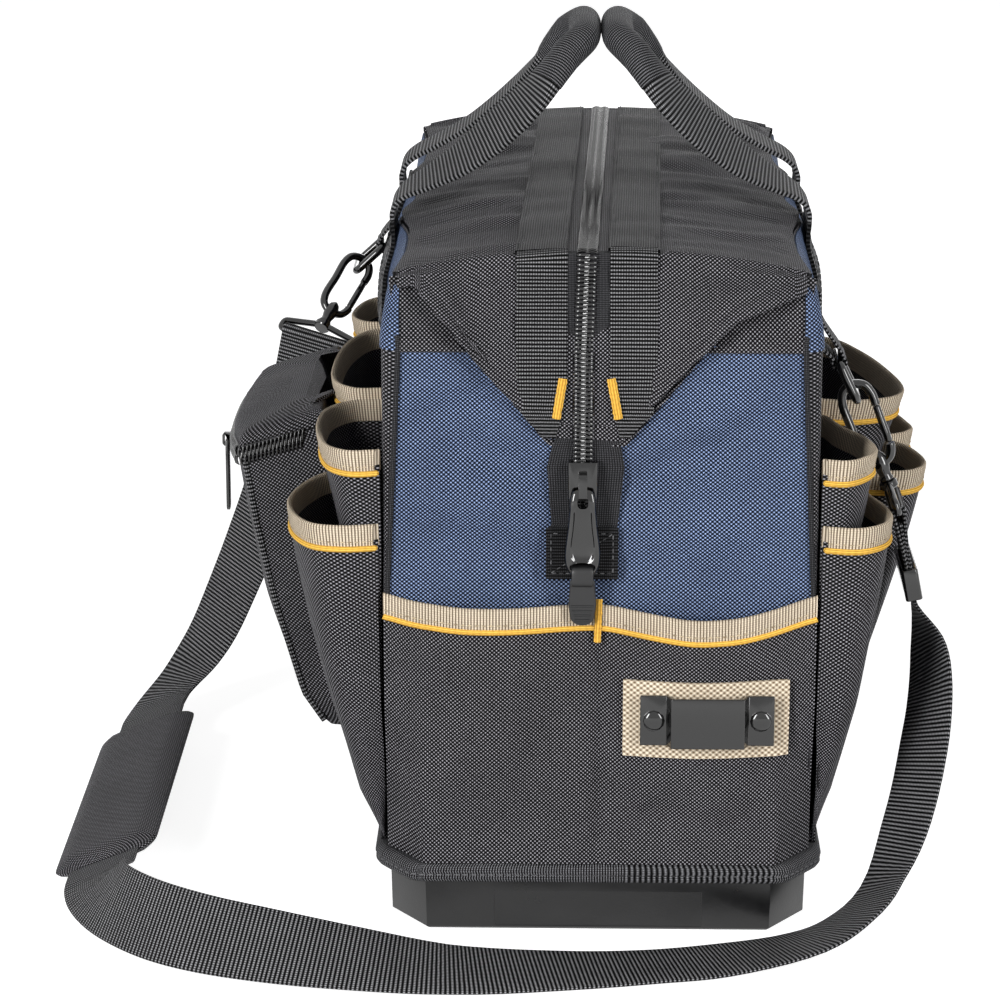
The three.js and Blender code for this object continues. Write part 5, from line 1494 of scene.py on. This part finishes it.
def make_handle(word, side):
    half = [(vec(side * x, -y * HANDLE_SPREAD, z), vec(share, math.radians(turn), 0))
            for x, z, y, share, turn in HANDLE_LINE]
    middle = [(vec(side * GRIP_X, 0, GRIP_HEIGHT), vec(1, 0, 0))]
    back = [(vec(p.x, -p.y, p.z), vec(state.x, 0, 0)) for p, state in reversed(half)]
    whole = half + middle + back
    steps = 6
    line = smooth_line([p for p, _ in whole], steps)
    states = []
    for (_, a), (_, b) in zip(whole, whole[1:]):
        states += [a.lerp(b, k / steps) for k in range(steps)]
    states.append(whole[-1][1])
    face = vec(side * 0.6, 0, 0.8)

    def across(i):
        way = (line[min(len(line) - 1, i + 2)] - line[max(0, i - 2)]).normalized()
        flat = way.cross(face).normalized()
        return Quaternion(way, -side * states[i].y) @ flat

    rows = sections_along(line, across, lambda i: grip_section(states[i].x))
    handle = tube(f"{word}_handle_webbing", rows, WEBBING, f"grip_{word}", angle=50)
    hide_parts(f"handle_{word}")
    inside = [i for i in range(len(line)) if states[i].x > 0.5]
    first, last = inside[0], inside[-1]
    rows = sections_along(line[first:last + 1], lambda i: across(first + i),
                          lambda i: grip_section(states[first + i].x, 0.35))
    sleeve = tube(f"{word}_grip_sleeve", rows, FINE_RIBBED, f"grip_{word}", angle=50)


def make_handle_tabs():
    """The handle's webbing sewn down the side of the bag below its hinge."""
    half = STRAP_WIDTH / 2
    for word, side in (("left", -1), ("right", 1)):
        for hand, y in (("near", -HANDLE_SPREAD), ("far", HANDLE_SPREAD)):
            def on_tab(across, z, lift):
                """A point of the tab's face; its top comes out to the root of the handle."""
                x = half_width(z) + side_bulge(y + across, z) + 2.0
                spot = shoulder(vec(side * x, y + across, z)) + vec(side, 0, 0)
                spot.x = mix(spot.x, side * (HANDLE_ROOT + LEG_THICK / 2), unit(z, 300, 318))
                return spot + vec(side * lift, 0, 0)

            grid = []
            for z in spread(TAB_FOOT, SIDE_TOP + 2, 26):
                grid.append([on_tab(a, z, 0) for a in spread(-half, half, 10)])
            tab = cloth(f"{word}_{hand}_handle_tab", grid, WEBBING, "bag", 2, side < 0)
            corners = [(-15, 262), (15, 262), (15, 305), (-15, 305), (-15, 262), (15, 305),
                       (15, 262), (-15, 305)]
            line = []
            for (a, za), (b, zb) in zip(corners, corners[1:]):
                line.extend([on_tab(mix(a, b, t), mix(za, zb, t), 0.2) for t in spread(0, 1, 10)])
            sewn = stitches(f"{word}_{hand}_tab_stitches", line, [vec(side, 0, 0)] * len(line),
                            3.4, 2.5, 0.6, DARK_THREAD, "bag")


# Strap hardware: rings, hooks, eyes and the adjuster at each end of the strap
RING_WIRE = 2.2
RING_HALF_WIDTH = 15
RING_DROP = 20.6
RING_Y = 146
HOOK_WIRE = 2.2
RING_PLAY = 0.9
HOOK_HALF_WIDTH = 7.6
HOOK_LENGTH = 43
HOOK_NECK_RADIUS = 3.6
HOOK_NECK_END = 52
GATE_TOP = 14
GATE_FOOT = 33.7
GATE_RADIUS = 1.9
EYE_WIRE = 1.9
EYE_DROP = 64
EYE_HALF_WIDTH = 21.4
STRAP_THICK = 1.8
STRAP_LOOP = 36
Y_AXIS = vec(0, 1, 0)
RIGHT_END = {
    "word": "right", "side": 1, "pivot": vec(116, -RING_Y, 268.5), "ring": vec(0.4375, 0, -0.899),
    "hook": vec(0.36, 0, -0.933), "bail": vec(0.933, 0, 0.36), "strap": vec(0.199, 0, -0.98),
    "eye": vec(0, -1, 0),
}
LEFT_END = {
    "word": "left", "side": -1, "pivot": vec(-121, RING_Y, 264.5), "ring": vec(-0.738, 0, -0.675),
    "hook": vec(-0.379, -0.743, -0.55), "bail": vec(0.82, 0, -0.57), "strap": vec(-0.22, 0, -0.975),
    "eye": vec(-0.925, 0.317, 0.209),
}
for end in (RIGHT_END, LEFT_END):
    for key in ("ring", "hook", "bail", "strap", "eye"):
        end[key].normalize()
    bar = end["pivot"] + end["ring"] * RING_DROP
    away = end["bail"].cross(Y_AXIS).normalized()
    if away.z < 0:
        away.negate()
    end["top"] = bar + away * (RING_WIRE + HOOK_WIRE + RING_PLAY)
    end["bar"] = end["top"] + end["hook"] * EYE_DROP


def frame_of(origin, along, across):
    """A piece's own frame: a runs across, b stands out and s runs along."""
    out = along.cross(across)
    return lambda a, b, s: origin + across * a + out * b + along * s


def make_ring_tab(end):
    word, side, pivot = end["word"], end["side"], end["pivot"]
    wall = SHOULDER_WIDTH / 2 + GAP
    reach = abs(pivot.x)
    radius = RING_WIRE + GAP + WEBBING_THICK / 2
    line = [vec(wall + 1, 0, 304), vec(wall + 1.2, 0, 296), vec(wall + 2.6, 0, 288),
            vec(reach + 1.2, 0, pivot.z + radius + 1.2)]
    for degrees in (60, 20, -20, -60, -100, -140, -180, -205):
        angle = math.radians(degrees)
        line.append(vec(reach + radius * math.cos(angle), 0, pivot.z + radius * math.sin(angle)))
    line += [vec(wall + 1.8, 0, pivot.z + 8), vec(wall + 0.9, 0, 284)]
    path = smooth_line([vec(side * p.x, pivot.y, p.z) for p in line], 4)
    rows = sections_along(path, lambda i: Y_AXIS, flat_section(24, WEBBING_THICK))
    tab = tube(f"{word}_ring_tab", rows, WEBBING, "bag", angle=50)
    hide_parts(f"d_ring_tab_{word}")


def make_ring(end):
    word = end["word"]
    at = frame_of(end["pivot"], end["ring"], Y_AXIS)
    w = RING_HALF_WIDTH
    d = RING_DROP
    corners = [at(-w, 0, 0), at(w, 0, 0), at(w, 0, d), at(-w, 0, d)]
    face = at(0, 1, 0) - at(0, 0, 0)
    ring = wire(f"{word}_ring_wire", rounded(corners, 5), face, RING_WIRE, PAINTED,
                f"ring_{word}", closed=True)
    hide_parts(f"d_ring_{word}")


def make_hook(end):
    word = end["word"]
    at = frame_of(end["top"], end["hook"], end["bail"])
    w = HOOK_HALF_WIDTH
    low = HOOK_LENGTH - w
    c = w * math.sqrt(0.5)
    plan = [(w, GATE_FOOT + 0.8), (w, low + GAP), (c, low + c), (0, HOOK_LENGTH), (-c, low + c),
            (-w, low), (-w, HOOK_LENGTH / 2), (-w, w), (-c, w - c), (0, 0), (c, w - c), (w, w),
            (w, GATE_TOP - 0.5)]
    face = at(0, 1, 0) - at(0, 0, 0)
    line = smooth_line([at(a, 0, s) for a, s in plan], 6)
    loop = wire(f"{word}_hook_wire", line, face, HOOK_WIRE, PAINTED, f"hook_{word}")
    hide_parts(f"snap_hook_{word}")
    profile = [(HOOK_LENGTH - 7, 1.2), (HOOK_LENGTH - 5, 2.9), (HOOK_LENGTH - 1, 4.1),
               (HOOK_LENGTH + 2.6, HOOK_NECK_RADIUS), (HOOK_LENGTH + 5, 3.0),
               (HOOK_NECK_END - 2.4, 3.0), (HOOK_NECK_END - 1, HOOK_NECK_RADIUS),
               (HOOK_NECK_END, 3.2)]
    rows = [[at(a, b * 0.85, s) for a, b in ellipse(18, r, r)] for s, r in profile]
    neck = tube(f"{word}_hook_neck", rows, PAINTED, f"hook_{word}")
    rows = []
    for s, r in ((GATE_TOP, 1.2), (GATE_TOP + 0.8, 1.8), (GATE_TOP + 5, GATE_RADIUS),
                 (GATE_FOOT - 5, GATE_RADIUS), (GATE_FOOT - 0.8, 1.8), (GATE_FOOT, 1.2)):
        rows.append([at(w + a, b, s) for a, b in ellipse(14, r, r)])
    gate = tube(f"{word}_gate_bar", rows, PAINTED, f"gate_{word}")
    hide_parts(f"hook_gate_{word}")


def make_eye(end):
    word = end["word"]
    at = frame_of(end["top"], end["hook"], end["eye"])
    w = EYE_HALF_WIDTH
    shoulder = HOOK_NECK_END + 6
    plan = [(-3.5, HOOK_NECK_END + 2), (3.5, HOOK_NECK_END + 2), (w, shoulder), (w, EYE_DROP),
            (-w, EYE_DROP), (-w, shoulder)]
    face = at(0, 1, 0) - at(0, 0, 0)
    line = rounded([at(a, 0, s) for a, s in plan], 2.4)
    loop = wire(f"{word}_eye_wire", line, face, EYE_WIRE, PAINTED, "bag", closed=True)
    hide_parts(f"swivel_eye_{word}")
    r = HOOK_NECK_RADIUS + 1
    rows = [[at(a, b, s) for a, b in ellipse(18, q, q)] for s, q in
            ((HOOK_NECK_END + GAP, r - 0.6), (HOOK_NECK_END + 0.9, r), (HOOK_NECK_END + 3.4, r),
             (HOOK_NECK_END + 4, r - 0.6))]
    collar = tube(f"{word}_eye_collar", rows, PAINTED, "bag")
    return loop, collar


def down(end, s):
    """A point of the strap at s below its eye, and the direction across it."""
    return end["bar"] + end["strap"] * s, end["eye"]


# The strap's way round the bag, and the direction across it at each point
STRAP_WAY = [
    (163, -154, 124, 0.35, -0.9, 0.25), (164, -168, 104, 0.48, -0.8, 0.36),
    (160, -183, 78, 0.55, -0.77, 0.32), (152, -198, 48, 0.55, -0.77, 0.32),
    (139, -214, 20, 0.45, -0.8, 0.38), (121, -236, 9.5, 0.5, -0.82, 0.3),
    (100, -252, 4.5, 0.44, -0.88, 0.14), (57, -269, 2, 0.36, -0.93, 0),
    (22, -278, 2.2, 0.2, -0.98, -0.02), (-15, -285, 3.2, 0.12, -0.99, -0.09),
    (-70, -294, 7, 0.06, -0.97, -0.25), (-121, -293, 12.5, -0.08, -0.86, -0.5),
    (-160, -287, 16, -0.15, -0.7, -0.7), (-190, -278, 18, -0.22, -0.55, -0.8),
    (-214, -264, 19, -0.3, -0.37, -0.88), (-234, -243, 19.2, -0.42, -0.22, -0.88),
    (-245, -216, 16.5, -0.72, -0.08, -0.69), (-248, -195, 13.3, -0.9, 0, -0.43),
    (-248, -186, 13, -0.927, 0, -0.375), (-248, -120, 13, -0.927, 0, -0.375),
    (-248, -40, 13, -0.927, 0, -0.375), (-248, 48, 13, -0.927, 0, -0.375),
    (-248, 56, 13, -0.927, 0, -0.375),
    (-244, 76, 16, -0.88, 0.3, -0.37), (-233, 90, 27, -0.8, 0.5, -0.33),
    (-219, 97, 47, -0.76, 0.62, -0.2), (-204, 100, 80, -0.76, 0.65, -0.08),
    (-189, 100, 118, -0.78, 0.62, 0), (-175, 99, 156, -0.85, 0.5, 0.08),
]


def make_strap():
    middle = [(vec(x, y, z), vec(a, b, c).normalized()) for x, y, z, a, b, c in STRAP_WAY]
    start = [down(RIGHT_END, STRAP_LOOP - 30), down(RIGHT_END, STRAP_LOOP - 4),
             down(RIGHT_END, STRAP_LOOP + 12)]
    finish = [down(LEFT_END, STRAP_LOOP + 2), down(LEFT_END, STRAP_LOOP - 6),
              down(LEFT_END, STRAP_LOOP - 30)]
    way = start + middle + finish
    steps = 5
    line = smooth_line([at for at, _ in way], steps)
    sides = smooth_line([across for _, across in way], steps)
    rows = sections_along(line, lambda i: sides[i], flat_section(STRAP_WIDTH, STRAP_THICK))
    strap = tube("strap_webbing", rows, WEBBING, "bag", angle=50)
    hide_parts("shoulder_strap")
    return strap


def make_strap_folds(end):
    """The end of the strap, folded round the eye's bar and sewn to itself."""
    word = end["word"]
    at = frame_of(end["bar"], end["strap"], end["eye"])
    radius = EYE_WIRE + GAP + STRAP_THICK / 2
    line = [at(0, STRAP_THICK * 0.55, STRAP_LOOP), at(0, STRAP_THICK * 0.6, 22),
            at(0, STRAP_THICK, 11)]
    for degrees in (60, 100, 140, 180, 220, 260, 300):
        angle = math.radians(degrees)
        line.append(at(0, radius * math.sin(angle), radius * math.cos(angle)))
    line += [at(0, -STRAP_THICK, 11), at(0, -STRAP_THICK * 0.6, 22),
             at(0, -STRAP_THICK * 0.55, STRAP_LOOP)]
    path = smooth_line(line, 4)
    rows = sections_along(path, lambda i: end["eye"], flat_section(STRAP_WIDTH, STRAP_THICK))
    fold = tube(f"{word}_strap_fold", rows, WEBBING, "bag", angle=50)
    return fold


PAD_PLACE = vec(-248, 0, 13)
PAD_ACROSS = vec(-0.927, 0, -0.375)
PAD_NEAR = -174
PAD_FAR = 36
PAD_WIDTH = 56
PAD_RIM = 1.4
PAD_CROWN = 5.6


def make_pad():
    """Padded sleeve: two faces crowned over foam, bound round the edge."""
    at = frame_of(PAD_PLACE, Y_AXIS, PAD_ACROSS.normalized())
    rows = []
    for t in spread(0, 1, 44):
        y = mix(PAD_NEAR + 0.6, PAD_FAR - 0.6, t)
        end = min(y - PAD_NEAR, PAD_FAR - y)
        swell = min(1, end / 12) ** 0.5
        half = PAD_WIDTH / 2 - max(0, 12 - end) ** 2 / 16
        row = []
        for c, s in ellipse(36, 1, 1):
            a = half * math.copysign(abs(c) ** 0.55, c)
            rim = 1 - unit(abs(a), half - 9, half)
            high = mix(PAD_RIM, PAD_CROWN * swell if rim > 0 else PAD_RIM, rim ** 0.6)
            b = high * math.copysign(abs(s) ** 0.5, s)
            row.append(at(a, b, y))
        rows.append(row)
    pad = tube("pad_cloth", rows, BLACK, "pad", angle=60)
    inner = PAD_WIDTH / 2 - 8.5
    near = PAD_NEAR + 9
    far = PAD_FAR - 9
    plan = [(-inner, near), (inner, near), (inner, far), (-inner, far), (-inner, near)]
    line = []
    for (a, ya), (b, yb) in zip(plan, plan[1:]):
        line.extend([at(mix(a, b, t), 3.4, mix(ya, yb, t)) for t in spread(0, 1, 20)])
    up = [at(0, 1, 0) - at(0, 0, 0)] * len(line)
    sewn = stitches("pad_stitches", line, up, 4.0, 3.0, 0.8, DARK_THREAD, "pad")
    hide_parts("shoulder_pad")
    return pad


# The camera stands where the photograph was taken from
CAMERA_PLACE = vec(-13, -1925, 694)
CAMERA_LENS = 134.28
CAMERA_SENSOR = 36
CAMERA_TURN = -1.17
CAMERA_DIP = 15.66


def make_camera():
    data = bpy.data.cameras.new("camera")
    data.sensor_width = CAMERA_SENSOR
    data.lens = CAMERA_LENS
    camera = bpy.data.objects.new("camera", data)
    bpy.context.scene.collection.objects.link(camera)
    turn = math.radians(CAMERA_TURN)
    dip = math.radians(CAMERA_DIP)
    way = vec(math.sin(turn) * math.cos(dip), math.cos(turn) * math.cos(dip), -math.sin(dip))
    camera.location = CAMERA_PLACE * MM
    camera.rotation_euler = way.to_track_quat("-Z", "Y").to_euler()
    bpy.context.scene.camera = camera


# The studio, in metres and watts: each lamp's place, width, height and power. The two in front are
# tall soft boxes, and the one behind lights the top and the zip
LAMPS = {
    "key": (vec(-1.5, -2.1, 0.95), 0.6, 1.6, 60),
    "fill": (vec(1.7, -1.8, 0.9), 0.6, 1.6, 40),
    "back": (vec(0.2, 2.3, 0.9), 1.2, 1.2, 8),
}
LAMPS_AIM = vec(0, 0, 0.18)
FLOOR_REACH = 30
FLOOR_GLOW = 0.88
SKY_LOW = 0.3
SKY_HIGH = 0.12


def seen_ray(tree):
    """1 for the rays that see the pale surroundings: the camera's, and those of gloss and glass."""
    ray = put(tree, "ShaderNodeLightPath")
    mirrored_too = put(tree, "ShaderNodeMath", {0: ray.outputs["Is Camera Ray"],
                                                1: ray.outputs["Is Glossy Ray"]},
                       operation="MAXIMUM")
    return put(tree, "ShaderNodeMath", {0: mirrored_too.outputs[0],
                                        1: ray.outputs["Is Transmission Ray"]},
               operation="MAXIMUM").outputs[0]


def make_studio():
    bpy.context.scene.view_settings.view_transform = "Standard"
    floor_mesh = bpy.data.meshes.new("studio_floor")
    plan = [(-1, -1), (1, -1), (1, 1), (-1, 1)]
    floor_mesh.from_pydata([(FLOOR_REACH * x, FLOOR_REACH * y, 0) for x, y in plan], [],
                           [(0, 1, 2, 3)])
    floor = bpy.data.objects.new("studio_floor", floor_mesh)
    bpy.context.scene.collection.objects.link(floor)
    material, tree = blank("pale_floor")
    matt = put(tree, "ShaderNodeBsdfDiffuse", {"Color": linear("#d2d2d2")})
    glow = put(tree, "ShaderNodeEmission", {"Color": (1, 1, 1, 1), "Strength": FLOOR_GLOW})
    both = put(tree, "ShaderNodeAddShader", {0: matt.outputs[0], 1: glow.outputs[0]})
    pick = put(tree, "ShaderNodeMixShader", {0: seen_ray(tree), 1: matt.outputs[0],
                                             2: both.outputs[0]})
    put(tree, "ShaderNodeOutputMaterial", {"Surface": pick.outputs[0]})
    floor_mesh.materials.append(material)
    world = bpy.data.worlds.new("studio_world")
    bpy.context.scene.world = world
    world.use_nodes = True
    tree = world.node_tree
    tree.nodes.clear()
    where = put(tree, "ShaderNodeTexCoord")
    parts = put(tree, "ShaderNodeSeparateXYZ", {"Vector": where.outputs["Generated"]})
    fall = put(tree, "ShaderNodeMapRange", {"Value": parts.outputs["Z"], "From Min": 0.0,
                                            "From Max": 0.8, "To Min": SKY_LOW,
                                            "To Max": SKY_HIGH})
    soft = put(tree, "ShaderNodeBackground", {"Color": (1, 1, 1, 1),
                                              "Strength": fall.outputs[0]})
    white = put(tree, "ShaderNodeBackground", {"Color": (1, 1, 1, 1), "Strength": 1.0})
    pick = put(tree, "ShaderNodeMixShader", {0: seen_ray(tree), 1: soft.outputs[0],
                                             2: white.outputs[0]})
    put(tree, "ShaderNodeOutputWorld", {"Surface": pick.outputs[0]})
    for name, (place, wide, high, power) in LAMPS.items():
        data = bpy.data.lights.new(name, "AREA")
        data.shape = "RECTANGLE"
        data.size = wide
        data.size_y = high
        data.energy = power
        lamp = bpy.data.objects.new(name, data)
        bpy.context.scene.collection.objects.link(lamp)
        lamp.location = place
        lamp.rotation_euler = (LAMPS_AIM - place).to_track_quat("-Z", "Y").to_euler()


make_camera()
make_studio()
make_base()
make_rim()
for word, side in (("near", -1), ("far", 1)):
    make_end_panel(word, side)
    make_hip(word, side)
    make_end_pocket(word, side)
for word, side in (("left", -1), ("right", 1)):
    make_side_panel(word, side)
    make_flap(word, side)
    make_handle(word, side)
make_corner_bindings()
make_top_zip()
make_end_zip()
make_end_webbing()
make_end_tape()
make_tape_patch()
make_bar_tacks()
make_slider()
make_tab()
make_tape_clip()
for word in SIDE_POCKETS:
    make_side_pocket(word)
make_pouch()
make_lid()
make_pouch_zip()
make_handle_tabs()
for end in (LEFT_END, RIGHT_END):
    make_ring_tab(end)
    make_ring(end)
    make_hook(end)
    make_eye(end)
    make_strap_folds(end)
softened("strap_slide", "strap_adjuster", 0.8, PAINTED, "bag")
make_pad()
make_strap()
